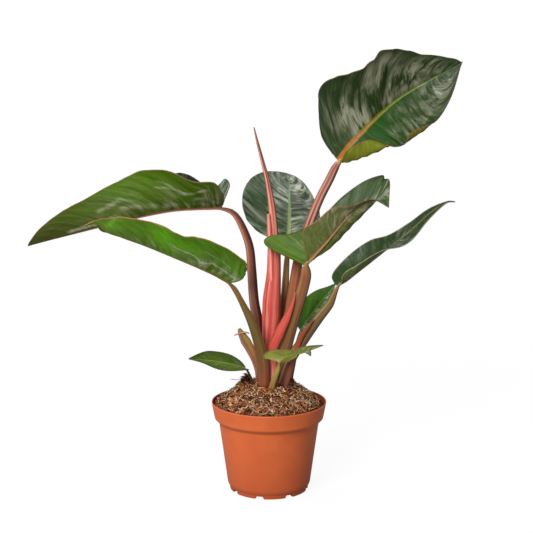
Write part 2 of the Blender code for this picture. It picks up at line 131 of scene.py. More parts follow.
bpy.ops.object.select_all(action="DESELECT")
bpy.ops.mesh.primitive_plane_add(size=TABLE_SIZE)
table = bpy.context.active_object
table.name = "white_table"
table_white, tree, shader = new_material("white_table")
in_view = node(tree, "LightPath", "Is Camera Ray")
card = node(tree, "Mix", 2, {0: in_view, 6: TABLE_GREY, 7: TABLE_WHITE}, data_type="RGBA")
dress(shader, card, 0.9, 0.0)
reach = node(tree, "VectorMath", "Value", {0: node(tree, "TexCoord", "Object")}, operation="LENGTH")
share = spread(reach, SWEEP_NEAR, SWEEP_FAR, SWEEP_WHITE) * in_view
sweep = node(tree, "MixShader", 0, {0: share, 1: Flow(shader.outputs[0]), 2: node(tree, "Emission", 0)})
feed(tree.nodes["Material Output"].inputs["Surface"], sweep)
table.data.materials.append(table_white)

world = bpy.data.worlds.new("studio")
bpy.context.scene.world = world
world.use_nodes = True
tree = world.node_tree
room = tree.nodes["Background"]
feed(room.inputs["Color"], WHITE)
feed(room.inputs["Strength"], ROOM_LIGHT)
bright = node(tree, "Background", 0, {"Color": WHITE, "Strength": 1.0})
seen = node(tree, "MixShader", 0, {0: node(tree, "LightPath", "Is Camera Ray"), 1: Flow(room.outputs[0]), 2: bright})
feed(tree.nodes["World Output"].inputs["Surface"], seen)


def cloth_box(name, place, aim, wide, high, power):
    """A soft box lamp pointed at a spot."""
    lamp = bpy.data.lights.new(name, "AREA")
    lamp.shape = "RECTANGLE"
    lamp.size = wide
    lamp.size_y = high
    lamp.energy = power
    holder = bpy.data.objects.new(name, lamp)
    holder.location = place
    holder.rotation_euler = (Vector(aim) - Vector(place)).to_track_quat("-Z", "Y").to_euler()
    bpy.context.scene.collection.objects.link(holder)


cloth_box("key_box", (-0.60, -1.35, 1.15), (0.0, 0.0, 0.16), 0.7, 0.7, 35.0)
cloth_box("left_box", (-1.15, 0.25, 1.35), (0.0, 0.0, 0.22), 1.2, 0.8, 11.0)
cloth_box("back_box", (0.0, 0.95, 1.15), (0.0, 0.0, 0.25), 2.2, 0.9, 9.0)

camera = bpy.data.cameras.new("camera")
camera.lens = CAMERA_LENS
camera.sensor_width = 36.0
camera_holder = bpy.data.objects.new("camera", camera)
camera_holder.location = CAMERA_PLACE
camera_holder.rotation_euler = (CAMERA_PITCH, 0.0, 0.0)
bpy.context.scene.collection.objects.link(camera_holder)
bpy.context.scene.camera = camera_holder
bpy.context.scene.view_settings.view_transform = "Standard"


# ---------------------------------------------------------------- nursery pot
# A thin injection-moulded pot of terracotta-coloured polypropylene: a tapered body, a step and
# a wider rim band, and a foot ring broken by drain slots.

POT_SIDES = 192
POT_SOFT_ANGLE = math.radians(32.0)
POT_SLOTS = 8
SLOT_WIDTH = 6.4
SLOT_TURN = math.radians(31.0)
SLOT_RISE = 2.5
SLOT_INNER = 33.6
FOOT_RADIUS = 36.0
FOOT_PROFILE = [(33.4, 1.4), (33.8, 0.1), (34.2, 0), (36.2, 0), (36.6, 0.25), (36.8, 0.8)]
WALL_PROFILE = [(36.9, 3.1), (37.3, 4), (38, 5), (38.6, 6.4), (39, 8), (39.15, 9.2), (42.9, 37), (46.6, 63.9),
                (46.8, 64.7), (47.2, 65.5), (48.6, 66.9), (50.1, 68.2), (50.75, 68.9), (51.05, 69.8),
                (51.2, 70.8), (52.4, 77), (53.45, 82.6), (53.6, 83.4), (53.45, 83.85), (53, 84), (52.6, 83.8),
                (52.4, 83.2), (51.2, 76.6), (49.95, 69.6), (49.5, 68.6), (45.9, 65.2), (45.5, 64.2), (37.4, 8),
                (35.6, 2.3)]
WALL_TAPER = 0.185


def drawn_up(name, profile, sides):
    """A ring of edges drawn along a turned profile, step by step, and closed at both ends."""
    bpy.ops.object.select_all(action="DESELECT")
    radius, height = profile[0]
    bpy.ops.mesh.primitive_circle_add(vertices=sides, radius=radius * MM, fill_type="NOTHING")
    piece = bpy.context.active_object
    piece.name = name
    bpy.ops.object.mode_set(mode="EDIT")
    bpy.ops.mesh.select_all(action="SELECT")
    bpy.ops.transform.translate(value=(0.0, 0.0, height * MM))
    for new_radius, new_height in profile[1:]:
        rise = (new_height - height) * MM
        bpy.ops.mesh.extrude_region_move(TRANSFORM_OT_translate={"value": (0.0, 0.0, rise)})
        wider = new_radius / radius
        bpy.ops.transform.resize(value=(wider, wider, 1.0), center_override=(0.0, 0.0, 0.0))
        radius, height = new_radius, new_height
    bpy.ops.mesh.select_all(action="DESELECT")
    bpy.ops.object.mode_set(mode="OBJECT")
    fill_ends(piece)
    return piece


def fill_ends(piece):
    """Close every open rim of a piece with one face, and turn the faces outwards."""
    bpy.ops.object.select_all(action="DESELECT")
    piece.select_set(True)
    bpy.context.view_layer.objects.active = piece
    bpy.ops.object.mode_set(mode="EDIT")
    bpy.ops.mesh.select_all(action="SELECT")
    bpy.ops.mesh.fill_holes(sides=0)
    bpy.ops.mesh.normals_make_consistent(inside=False)
    bpy.ops.mesh.select_all(action="DESELECT")
    bpy.ops.object.mode_set(mode="OBJECT")


def paint(red, green, blue):
    """A paint-chart colour, 0 to 255, as linear light."""
    parts = [c / 255.0 for c in (red, green, blue)]
    return (*(c / 12.92 if c <= 0.04045 else ((c + 0.055) / 1.055) ** 2.4 for c in parts), 1.0)


def noise_on(vector, scale, detail=4.0, rough=0.55, swirl=0.0):
    """A noise pattern read at a vector."""
    return node(vector.tree, "TexNoise", "Fac", {"Vector": vector, "Scale": scale, "Detail": detail,
                                                 "Roughness": rough, "Distortion": swirl})


def graded(factor, stops):
    """A ramp over a factor; stops give a colour, or a plain share, at each place along it."""
    made = node(factor.tree, "ValToRGB", "Color", {"Fac": factor})
    band = made.socket.node.color_ramp
    stops = stops if isinstance(stops, dict) else {0: stops, 1: stops}
    shades = [(place, paint(*s) if isinstance(s, tuple) else (s, s, s, 1.0)) for place, s in stops.items()]
    band.elements[0].position, band.elements[0].color = shades[0]
    band.elements[1].position, band.elements[1].color = shades[-1]
    for place, shade in shades[1:-1]:
        band.elements.new(place).color = shade
    return made


def blend(factor, first, second):
    """A colour or flow covered by another by a factor."""
    first, second = (paint(*c) if isinstance(c, tuple) else c for c in (first, second))
    return node(factor.tree, "Mix", 2, {0: factor, 6: first, 7: second}, data_type="RGBA")


def raised(height, distance, shader, strength=1.0):
    """Relief from a height factor, into a shader's normal."""
    relief = node(height.tree, "Bump", "Normal", {"Distance": distance, "Strength": strength, "Height": height})
    feed(shader.inputs["Normal"], relief)


def stretched(vector, stretch):
    """A vector scaled along each axis."""
    return node(vector.tree, "Mapping", "Vector", {"Scale": stretch, "Vector": vector})


def object_place(tree, stretch=(1, 1, 1)):
    """Object coordinates, stretched."""
    return stretched(node(tree, "TexCoord", "Object"), stretch)


def terracotta_plastic():
    """Satin moulded polypropylene: fine cloudiness, faint turning lines, painted shade towards the foot and on the
    inner face of the rim band.
    """
    made, tree, shader = new_material("terracotta_plastic")
    place = object_place(tree)
    x, y, z = (node(tree, "SeparateXYZ", axis, {0: place}) for axis in "XYZ")
    cloud = noise_on(place, 55)
    lines = noise_on(object_place(tree, (6, 6, 900)), 1, 2)
    grain = noise_on(place, 1400, 2)
    body = graded(cloud, {0.3: (200, 93, 46), 0.7: (210, 102, 53)})
    body = blend(spread(lines, 0.45, 0.75, 0, 0.16), body, (212, 114, 66))
    # Painted shade: the body darkens towards the foot.
    body = blend(spread(z, 0, 0.055, 0.75, 0), body, (178, 80, 42))
    taper = (x ** 2 + y ** 2).sum("SQRT") - z * WALL_TAPER
    # Painted shade on the inner face of the rim band, above the step.
    inside = spread(taper, 0.0372, 0.0378, 1, 0) * spread(z, 0.070, 0.074)
    dress(shader, blend(inside, body, (118, 54, 30)), spread(cloud, 0.3, 0.7, 0.46, 0.56), 0.32)
    raised(lines * 0.6 + grain * 0.4, 0.00006, shader)
    return made


pot = drawn_up("pot", FOOT_PROFILE + WALL_PROFILE, POT_SIDES)
for vert in pot.data.vertices:
    turn = math.atan2(vert.co.y, vert.co.x) - SLOT_TURN
    step = 2 * math.pi / POT_SLOTS
    off = abs((turn + step / 2) % step - step / 2) * FOOT_RADIUS
    if off < SLOT_WIDTH / 2 and vert.co.z < 1 * MM and math.hypot(vert.co.x, vert.co.y) > SLOT_INNER * MM:
        vert.co.z += SLOT_RISE * MM
bpy.ops.object.shade_smooth_by_angle(angle=POT_SOFT_ANGLE)
pot.data.materials.append(terracotta_plastic())
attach(pot, "root")
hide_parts("nursery_pot")


# ---------------------------------------------------------------- potting mix
# Shredded coir, peat and composted bark, filled a few millimetres under the rim and heaped up
# round the crown. The body is one lumpy mass; the bits that lie on it follow.

MIX_SIDES = 200
MIX_ROWS = 64
MIX_FLAT = 80.0
MIX_RINGS = [(35, 2.6), (37, 8.8), (45, 64.4), (48.9, 69), (50.3, 75)]
MIX_EDGE = 81.0
MIX_MOUND = 21.0
MIX_SINK = 4.0
MIX_REACH = 51.0
MIX_LUMPS = 1.5
MIX_HEAPS = [(-22, -3, 9.5, 6.5), (20.5, 1, 6.5, 5.5), (-33, -8, 2.5, 8), (-36, 22, -4, 14)]  # x, y, rise, spread


def mix_height(x, y):
    """Smooth height of the heaped mix over a point."""
    share = min(1.0, math.hypot(x, y) / MIX_REACH)
    low_side = max(0.0, (x + y) / 72.0)
    height = MIX_EDGE - MIX_SINK * low_side * share + MIX_MOUND * (1.0 - share ** 2.4)
    for heap_x, heap_y, rise, spread_out in MIX_HEAPS:
        height += rise * math.exp(-((x - heap_x) ** 2 + (y - heap_y) ** 2) / spread_out ** 2)
    return height


def mix_lump(x, y):
    """Height of the mix over a point with its clods."""
    clods = noise.fractal(Vector((x * 0.13, y * 0.13, 3.7)), 0.7, 2.1, 4)
    edge = min(1.0, max(0.0, (50.5 - math.hypot(x, y)) / 5.0))
    return mix_height(x, y) + MIX_LUMPS * clods * (0.35 + 0.65 * edge)


def coir_and_peat():
    """Brown shredded fibre: painted shade in the crevices, reddish and straw-coloured shreds."""
    made, tree, shader = new_material("peat_and_coir")
    clods = noise_on(object_place(tree), 240, 6, 0.7)
    shreds = noise_on(object_place(tree, (1, 0.35, 1)), 900, 3, 0.6)
    # The low places of the clod pattern, which the bump also sinks, are painted dark: painted shade in the crevices.
    body = graded(clods, {0.36: (26, 15, 10), 0.5: (84, 47, 28), 0.62: (132, 80, 48), 0.76: (176, 116, 74)})
    dress(shader, blend(spread(shreds, 0.55, 0.72, 0, 0.7), body, (196, 150, 108)), 0.95, 0.15)
    raised(clods + shreds, 0.0012, shader)
    return made


mix = drawn_up("mix", MIX_RINGS + [(r, MIX_FLAT) for r in np.linspace(MIX_REACH, 1, MIX_ROWS)], MIX_SIDES)
for vert in mix.data.vertices:
    if vert.co.z > 76 * MM:
        vert.co.z = mix_lump(vert.co.x / MM, vert.co.y / MM) * MM
mix.data.shade_smooth()
mix.data.materials.append(coir_and_peat())
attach(mix, "root")
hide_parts("potting_mix")


# ---------------------------------------------------------------- crown
# The short stem that the leaves grow from: knobbly, ringed with old leaf scars and dry bark,
# standing out of the mix by a few millimetres.

CROWN_SIDES = 96
CROWN_X = 23.4
CROWN_Y = 25.4
CROWN_BASE = 91.2
CROWN_TOP = 100.4


def scarred_bark():
    """Dry brown bark with darker rings."""
    made, tree, shader = new_material("crown_bark")
    rings = noise_on(object_place(tree, (1, 1, 5)), 170, 5, 0.65)
    dress(shader, graded(rings, {0.32: (52, 28, 18), 0.5: (104, 60, 40), 0.68: (150, 98, 66)}), 0.88, 0.2)
    raised(rings, 0.0010, shader)
    return made


crown_rings = [(s, CROWN_BASE) for s in np.linspace(0.1, 1, 10)]
crown_rings += [(1.0, h) for h in np.linspace(CROWN_BASE + 1, CROWN_TOP - 2.4, 6)]
crown_rings += [(s, CROWN_TOP) for s in np.linspace(0.97, 0.05, 24)]
crown = drawn_up("crown", crown_rings, CROWN_SIDES)
for vert in crown.data.vertices:
    share = math.hypot(vert.co.x, vert.co.y) / MM
    x, y = vert.co.x * CROWN_X, vert.co.y * CROWN_Y
    lump = noise.fractal(Vector((x, y, 0.0)) * 140.0, 0.8, 2.0, 3)
    if vert.co.z > (CROWN_TOP - 0.5) * MM:
        vert.co.z += (0.6 * lump - 1.6 * share ** 2) * MM
    vert.co.x, vert.co.y = x, y
crown.data.shade_smooth()
crown.data.materials.append(scarred_bark())
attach(crown, "root")
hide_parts("root_crown")


# ---------------------------------------------------------------- shreds, bark and perlite
# What lies loose on top: thousands of short coir fibres, flat bark chips and white puffed
# perlite. Each kind is one modelled bit, copied, turned and laid on the mix.

LOOSE_SEED = 11
ANY_TURN = 6.28
CHIP_COUNT = 1600
FIBRE_COUNT = 2900
FIBRE_STEPS = 6
GRAIN_COUNT = 46
CHIP_SHAPE = [(1, 0.1, 0), (0.5, 0.9, 0.1), (-0.6, 0.8, -0.1), (-1, -0.1, 0.1), (-0.4, -0.9, 0), (0.6, -0.8, 0.1),
              (0.3, 0.1, 0.55), (-0.4, 0, 0.5), (0.1, 0, -0.5)]
CHIP_FACES = [(0, 1, 6), (1, 2, 7, 6), (2, 3, 7), (3, 4, 7), (4, 5, 6, 7), (5, 0, 6),
              (1, 0, 8), (2, 1, 8), (3, 2, 8), (4, 3, 8), (5, 4, 8), (0, 5, 8)]
BARK_TINTS = [(46, 24, 14), (116, 58, 34), (168, 94, 56), (200, 120, 74), (222, 160, 108), (22, 11, 8),
              (134, 68, 42), (240, 200, 150)]
FIBRE_TINTS = [(224, 164, 112), (190, 114, 70), (150, 80, 46), (246, 208, 158), (112, 56, 32), (212, 138, 88),
               (255, 236, 200), (62, 32, 20)]
PEARL_TINTS = [(244, 240, 230), (232, 224, 206), (214, 202, 180)]


def lay_of(x, y):
    """Height and upward direction of the mix's surface at a point."""
    here = mix_lump(x, y)
    up = np.array((here - mix_lump(x + 1.0, y), here - mix_lump(x, y + 1.0), 1.0))
    return here, up / np.linalg.norm(up)


def turned_frame(up, turn, lean):
    """Three axes: ahead along the surface, aside, and the lifted normal."""
    flat = np.array((math.cos(turn), math.sin(turn), 0.0))
    ahead = flat - up * flat.dot(up)
    ahead = ahead / np.linalg.norm(ahead)
    aside = np.cross(up, ahead)
    ahead = ahead * math.cos(lean) + up * math.sin(lean)
    return np.array((ahead, aside, np.cross(ahead, aside)))


def any_spot(radius_low, radius_high):
    """A random point of the ring between two radii, evenly spread."""
    radius = math.sqrt(random.uniform(radius_low ** 2, radius_high ** 2))
    turn = random.uniform(0.0, 2.0 * math.pi)
    return radius * math.cos(turn), radius * math.sin(turn)


def copied_bits(name, shape, faces, bits, surface):
    """Many copies of one small shape as a single piece; bits are (place, axes, size, tint)."""
    shape = np.asarray(shape, float)
    points, sides, colours = [], [], []
    for place, axes, size, tint in bits:
        sides.extend(tuple(len(points) + k for k in face) for face in faces)
        points.extend((shape * np.asarray(size)) @ axes + place)
        colours.extend([paint(*tint)] * len(shape))
    mesh = bpy.data.meshes.new(name)
    mesh.from_pydata([tuple(p * MM) for p in points], [], sides)
    shades = mesh.color_attributes.new("tint", "FLOAT_COLOR", "POINT")
    shades.data.foreach_set("color", np.asarray(colours, float).reshape(-1))
    mesh.materials.append(surface)
    piece = bpy.data.objects.new(name, mesh)
    bpy.context.scene.collection.objects.link(piece)
    return piece


def tinted(name, roughness, grain_scale, grain_depth):
    """A dry surface that takes each bit's own tint, with a little grain."""
    made, tree, shader = new_material(name)
    tint = node(tree, "Attribute", "Color", attribute_name="tint")
    grain = noise_on(object_place(tree), grain_scale, 4, 0.65)
    dress(shader, blend(spread(grain, 0.35, 0.65, 0.6, 0), tint, (40, 22, 14)), roughness, 0.15)
    raised(grain, grain_depth, shader)
    return made


random.seed(LOOSE_SEED)
bits = []
while len(bits) < CHIP_COUNT:
    x, y = any_spot(0, 50)
    here, up = lay_of(x, y)
    long_way = random.choice((0.8, 1.0, 1.3, 1.8, 2.6))
    size = (long_way, long_way * random.uniform(0.35, 0.7), long_way * random.uniform(0.3, 0.6))
    axes = turned_frame(up, random.uniform(0, ANY_TURN), random.uniform(-0.7, 0.7))
    if math.hypot(x, y) + long_way < 51:
        bits.append((np.array((x, y, here + 0.25 * long_way)), axes, size, random.choice(BARK_TINTS)))
chips = copied_bits("bark_chips", CHIP_SHAPE, CHIP_FACES, bits, tinted("bark", 0.92, 900, 0.0004))
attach(chips, "root")
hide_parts(*["bark_chip_%d" % k for k in range(1, 6)])


def fibre_shape():
    """A three-sided fibre bowed along its length, one long, tapered at both ends."""
    points, faces = [], []
    for k in range(FIBRE_STEPS + 1):
        along = k / FIBRE_STEPS
        bow = 0.24 * math.sin(math.pi * along) + 0.09 * math.sin(6.0 * along)
        thick = 1.0 if 0 < k < FIBRE_STEPS else 0.3
        for j in range(3):
            turn = 2.0 * math.pi * j / 3.0
            points.append((along - 0.5, bow + 0.06 * thick * math.cos(turn), 0.03 * thick * math.sin(turn)))
    for k in range(0, FIBRE_STEPS * 3, 3):
        faces += [(k + j, k + (j + 1) % 3, k + 3 + (j + 1) % 3, k + 3 + j) for j in range(3)]
    last = FIBRE_STEPS * 3
    return points, faces + [(2, 1, 0), (last, last + 1, last + 2)]


bits = []
while len(bits) < FIBRE_COUNT:
    x, y = any_spot(0, 48.5)
    here, up = lay_of(x, y)
    long_way = random.uniform(3.5, 10)
    if math.hypot(x, y) + 0.5 * long_way < 51.5:
        axes = turned_frame(up, random.uniform(0, ANY_TURN), random.uniform(-0.35, 0.35))
        side = random.choice((-1, 1)) * random.uniform(0.4, 1)
        size = (long_way, long_way * side, random.uniform(5, 13))
        bits.append((np.array((x, y, here + random.uniform(0.3, 1.1))), axes, size, random.choice(FIBRE_TINTS)))
strand_axes = turned_frame(np.array((0.0, 0.0, 1.0)), 3.1, 0.05)
bits.append((np.array((-31.5, -8.0, 106.6)), strand_axes, (10, 6, 12), (236, 206, 168)))
fibres = copied_bits("coir_fibres", *fibre_shape(), bits, tinted("coir", 0.9, 700, 0.0001))
fibres.data.shade_smooth()
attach(fibres, "root")

bits = []
while len(bits) < GRAIN_COUNT:
    x, y = any_spot(8, 48)
    here, up = lay_of(x, y)
    size = random.choice((0.4, 0.5, 0.6, 0.7, 0.9))
    axes = turned_frame(up, random.uniform(0, ANY_TURN), random.uniform(-0.5, 0.5))
    bits.append((np.array((x, y, here + 0.7)), axes, (size, size, size * 1.2), random.choice(PEARL_TINTS)))
grains = copied_bits("perlite", CHIP_SHAPE, CHIP_FACES, bits, tinted("perlite", 0.95, 1500, 0.0003))
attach(grains, "root")
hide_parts(*["perlite_grain_%d" % k for k in range(1, 7)])


# ---------------------------------------------------------------- leaf A, high on the right
# A broad glossy leaf held high, seen on its upper face, on a long pink-brown stalk. The stalk is
# one solid growth that flattens under the blade and runs on as its midrib.

LINE_STEPS = 161
STEM_SIDES = 42
STEM_RINGS = 64
STEM_RIDGES = 0.03
CHANNEL_PLACE = 0.72 * 2 * math.pi
BLADE_ROWS = 132
BLADE_HALF = 36
BLADE_THICK = 0.55
WELD = 0.00002
RIB_SHARES = {0.03: 1, 0.10: 0.86, 0.20: 0.72, 0.34: 0.58, 0.50: 0.46, 0.66: 0.36, 0.80: 0.28, 0.91: 0.2}
PALE_VEIN = (118, 140, 80)
# The colour of the painted highlights along creases.
CREASE_HIGHLIGHT = (190, 190, 162)
DARK_CLOUD = (20, 30, 10)


def unit(vectors):
    """Rows scaled to length one."""
    return vectors / np.maximum(np.linalg.norm(vectors, axis=-1, keepdims=True), 1e-9)


def between(at, marks, rows):
    """Rows of points read off between their marks."""
    return np.stack([np.interp(at, marks, rows[:, k]) for k in range(3)], -1)


def run_of(points):
    """Distance run along a line of points, from its start."""
    return np.r_[0.0, np.cumsum(np.linalg.norm(np.diff(points, axis=0), axis=1))]


def keyed_curve(keys, count):
    """Points along a smooth curve through the keys, the same number between each pair."""
    p = np.asarray(keys, float).reshape(len(keys), -1)
    p = np.vstack([2 * p[0] - p[1], p, 2 * p[-1] - p[-2]])
    at = np.linspace(0.0, len(keys) - 1, count)
    i = np.clip(at.astype(int), 0, len(keys) - 2)
    t = (at - i)[:, None]
    a, b, c, d = p[i], p[i + 1], p[i + 2], p[i + 3]
    return 0.5 * (2 * b + (c - a) * t + (2 * a - 5 * b + 4 * c - d) * t ** 2
                  + (3 * b - a - 3 * c + d) * t ** 3)


def smooth_route(points, count):
    """Even samples of a smooth curve through the points, and its length."""
    curve = keyed_curve(points, 24 * (len(points) - 1) + 1)
    run = run_of(curve)
    return between(np.linspace(0.0, run[-1], count), run, curve), run[-1]


def keyed(keys, along):
    """A value eased between evenly spaced keys."""
    keys = np.asarray(keys, float)
    place = np.clip(along, 0.0, 1.0) * (len(keys) - 1)
    low = np.clip(place.astype(int), 0, len(keys) - 2)
    ease = place - low
    ease = ease * ease * (3 - 2 * ease)
    return keys[low] * (1 - ease) + keys[low + 1] * ease


def facing(turn, lift):
    """Direction turned from the front towards +X and lifted, in degrees."""
    turn, lift = math.radians(turn), math.radians(lift)
    return (math.sin(turn) * math.cos(lift), -math.cos(turn) * math.cos(lift), math.sin(lift))


def heart_grid(midrib, half_width, faces, fold, curl, lobe, widest, fullness, swell=((1, 1), (1, 1)), foot=(0, 0)):
    """A heart-shaped blade as a grid of points, rows along it and columns across.

    fold is the angle of each half over the flat and curl what it gains by the margin; swell
    scales the width. They have keys from the stalk to the tip. lobe and foot say how far the
    margin and the middle of each half reach back past the joint. All are (left, right).
    """
    rows, half = BLADE_ROWS, BLADE_HALF
    route, length = smooth_route(midrib, LINE_STEPS)
    tangent = unit(np.gradient(route, axis=0))
    along = np.linspace(0.0, 1.0, LINE_STEPS)
    wish = np.stack([keyed([facing(*f)[k] for f in faces], along) for k in range(3)], -1)
    up = unit(wish - (wish * tangent).sum(-1, keepdims=True) * tangent)
    u = np.linspace(0.0, 1.0, rows + 1)
    power = math.log(0.5) / math.log(widest)
    outline = np.sin(np.pi * (0.02 + 0.98 * u) ** power) ** fullness
    root = length * u ** 1.25
    grid = np.zeros((rows + 1, 2 * half + 1, 3))
    for side, sign in ((0, -1), (1, 1)):
        reach = np.maximum(half_width[side] * outline * keyed(swell[side], u), 0.25)
        edge = length * (u - lobe[side] * np.sin(np.pi * np.clip(u / 0.34, 0.0, 1.0)))
        out = np.zeros(rows + 1)
        lift = np.zeros(rows + 1)
        for j in range(half + 1):
            t = j / half
            x = root + (edge - root) * t ** 1.15 - foot[side] * math.sin(math.pi * t) * np.exp(-(u / 0.07) ** 2)
            s = np.clip(x / length, 0.0, 1.0)
            if j:
                angle = np.radians(keyed(fold[side], s) + keyed(curl[side], s) * ((j - 0.5) / half))
                out = out + np.cos(angle) / half
                lift = lift + np.sin(angle) / half
            ahead = unit(between(s, along, tangent))
            above = unit(between(s, along, up))
            mid = between(s, along, route) + ahead * np.minimum(x, 0.0)[:, None]
            grid[:, half + sign * j] = (mid + sign * np.cross(ahead, above) * (out * reach)[:, None]
                                        + above * (lift * reach)[:, None])
    return grid


def led_half(grid, lines, sags):
    """Rebuild the right half of a blade: each row leaves the midrib and runs from line to line.

    lines are keyed curves along the blade, the last of them its margin. sags hold, for each
    stretch between them, a direction and keys of how far it bellies out that way.
    """
    rows, half = BLADE_ROWS, BLADE_HALF
    ends = [grid[:, half]] + [keyed_curve(line, rows + 1) for line in lines]
    t = np.linspace(0.0, 1.0, 25)[:, None, None]
    parts = []
    for start, end, (way, keys) in zip(ends, ends[1:], sags):
        belly = (start + end) / 2 + keyed_curve(keys, rows + 1) * np.array(way)
        parts.append((1 - t) ** 2 * start + 2 * t * (1 - t) * belly + t * t * end)
    path = np.concatenate(parts)
    for i in range(rows + 1):
        run = run_of(path[:, i])
        row = between(np.linspace(0.0, run[-1], half + 1), run, path[:, i])
        for _ in range(2):
            row[1:-1] = (row[:-2] + 2 * row[1:-1] + row[2:]) / 4
        grid[i, half:] = row
    return grid


def face_normals(grid):
    """Upper-face normals of a grid."""
    return unit(np.cross(np.gradient(grid, axis=1), np.gradient(grid, axis=0)))


def grid_distance(grid):
    """Distance of each grid point from the midrib and from its margin, along the rows."""
    steps = np.linalg.norm(np.diff(grid, axis=1), axis=-1)
    run = np.concatenate([np.zeros((len(grid), 1)), np.cumsum(steps, axis=1)], axis=1)
    return np.abs(run - run[:, BLADE_HALF:BLADE_HALF + 1]), np.minimum(run, run[:, -1:] - run)


def veined(grid, count, sweep, depth, waves, wave_height, seed):
    """Press the midrib and side veins into a grid, puff up between them and ripple its margin."""
    rows, half = BLADE_ROWS, BLADE_HALF
    u = np.linspace(0.0, 1.0, rows + 1)[:, None]
    t = np.abs(np.arange(-half, half + 1))[None, :] / half
    side = np.sign(np.arange(-half, half + 1))[None, :]
    from_rib, from_edge = grid_distance(grid)
    phase = count * (u - sweep * t ** 1.5) + 0.23 * side
    wander = np.array([[noise.noise(Vector((p * 0.9, s * q * 1.4, seed))) for p, q, s in zip(row, t[0], side[0])]
                       for row in phase])
    near = np.abs(phase - np.round(phase))
    calm = np.clip(from_edge / 6.0, 0.0, 1.0) * np.clip(from_rib / 4.0, 0.0, 1.0)
    calm = calm * np.clip((1.0 - u) / 0.12, 0.0, 1.0)
    puff = (0.55 * np.cos(2 * np.pi * phase) + 0.6 * np.exp(-(near / 0.10) ** 2)) * (1.0 + 1.6 * wander)
    fine = 0.16 * np.cos(2 * np.pi * (4.0 * phase + 1.5 * wander))
    height = -depth * (puff + fine + 1.6 * wander) * calm
    height = height - 0.55 * np.exp(-(from_rib / 1.3) ** 2) * (1.0 - 0.75 * u)
    ripple = np.sin(2 * np.pi * waves * u + 1.7 * side + seed) * np.sin(np.pi * u) ** 0.6
    height = height + wave_height * ripple * t ** 3
    return grid + face_normals(grid) * height[..., None]


def drawn_sheet(name, across, along, shape):
    """A flat grid pulled to its shape in edit mode; its own UV map stays on it."""
    bpy.ops.object.select_all(action="DESELECT")
    bpy.ops.mesh.primitive_grid_add(x_subdivisions=across, y_subdivisions=along, size=2.0, calc_uvs=True)
    piece = bpy.context.active_object
    piece.name = name
    bpy.ops.object.mode_set(mode="EDIT")
    work = bmesh.from_edit_mesh(piece.data)
    for vert in work.verts:
        column = round((vert.co.x + 1.0) / 2.0 * across)
        row = round((vert.co.y + 1.0) / 2.0 * along)
        vert.co = Vector(shape[row][column]) * MM
    bmesh.update_edit_mesh(piece.data)
    bpy.ops.object.mode_set(mode="OBJECT")
    return piece


def leaf_blade(name, grid, surfaces, replaced):
    """A blade from its grid: a thin solid with an upper face, an underside and a margin."""
    blade = drawn_sheet(name, 2 * BLADE_HALF, BLADE_ROWS, grid)
    for key, values in zip(("from_rib", "from_edge"), grid_distance(grid)):
        layer = blade.data.attributes.new(key, "FLOAT", "POINT")
        layer.data.foreach_set("value", values.reshape(-1))
    for surface in surfaces:
        blade.data.materials.append(surface)
    wall = blade.modifiers.new("thickness", "SOLIDIFY")
    wall.thickness = BLADE_THICK * MM
    wall.offset = -1.0
    wall.material_offset = 1
    wall.material_offset_rim = 2
    bpy.ops.object.modifier_apply(modifier=wall.name)
    blade.data.shade_smooth()
    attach(blade, "root")
    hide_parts(replaced)


def under_rib(grid, thick):
    """The stations of the midrib under a blade, thinning towards the tip."""
    normal = face_normals(grid)
    stations = []
    for place, share in RIB_SHARES.items():
        row = round(place * BLADE_ROWS)
        size = thick * share
        stations.append((*(grid[row, BLADE_HALF] - normal[row, BLADE_HALF] * (0.5 * size + 0.2)), size, size))
    return stations


def leaf_stalk(name, stations, skin, replaced, channel=0.12):
    """A solid stalk, faintly ridged, with a shallow channel on its inner side.

    stations are (x, y, z, half width, half depth) from the crown up.
    """
    sides, rings = STEM_SIDES, STEM_RINGS
    stations = np.asarray(stations, float)
    line, _ = smooth_route(stations[:, :3], rings + 1)
    tangent = unit(np.gradient(line, axis=0))
    tangent[0] = (0.0, 0.0, 1.0)
    run = run_of(stations[:, :3])
    share = np.linspace(0.0, 1.0, rings + 1)
    wide, deep = (np.interp(share, run / run[-1], stations[:, k]) for k in (3, 4))
    aside = unit(np.cross(np.array([0.0, 1.0, 0.0]), tangent))
    front = np.cross(tangent, aside)
    turns = np.linspace(0.0, 2.0 * np.pi, sides + 1)
    uneven = 1.0 + STEM_RIDGES * np.cos(7.0 * turns) * np.cos(3.0 * turns + 0.6)
    uneven = uneven - channel * np.exp(-((turns - CHANNEL_PLACE) / 0.35) ** 2)
    shape = (line[:, None, :] + aside[:, None, :] * (wide[:, None] * np.cos(turns) * uneven)[..., None]
             + front[:, None, :] * (deep[:, None] * np.sin(turns) * uneven)[..., None])
    stalk = drawn_sheet(name, sides, rings, shape)
    bpy.ops.object.mode_set(mode="EDIT")
    bpy.ops.mesh.select_all(action="SELECT")
    bpy.ops.mesh.remove_doubles(threshold=WELD)
    bpy.ops.object.mode_set(mode="OBJECT")
    fill_ends(stalk)
    stalk.data.shade_smooth()
    stalk.data.materials.append(stalk_skin(name, **skin))
    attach(stalk, "root")
    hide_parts(replaced)


def own_map(tree):
    """The piece's own UV map, and its two factors across and along."""
    place = node(tree, "UVMap", "UV")
    return place, node(tree, "SeparateXYZ", "X", {0: place}), node(tree, "SeparateXYZ", "Y", {0: place})


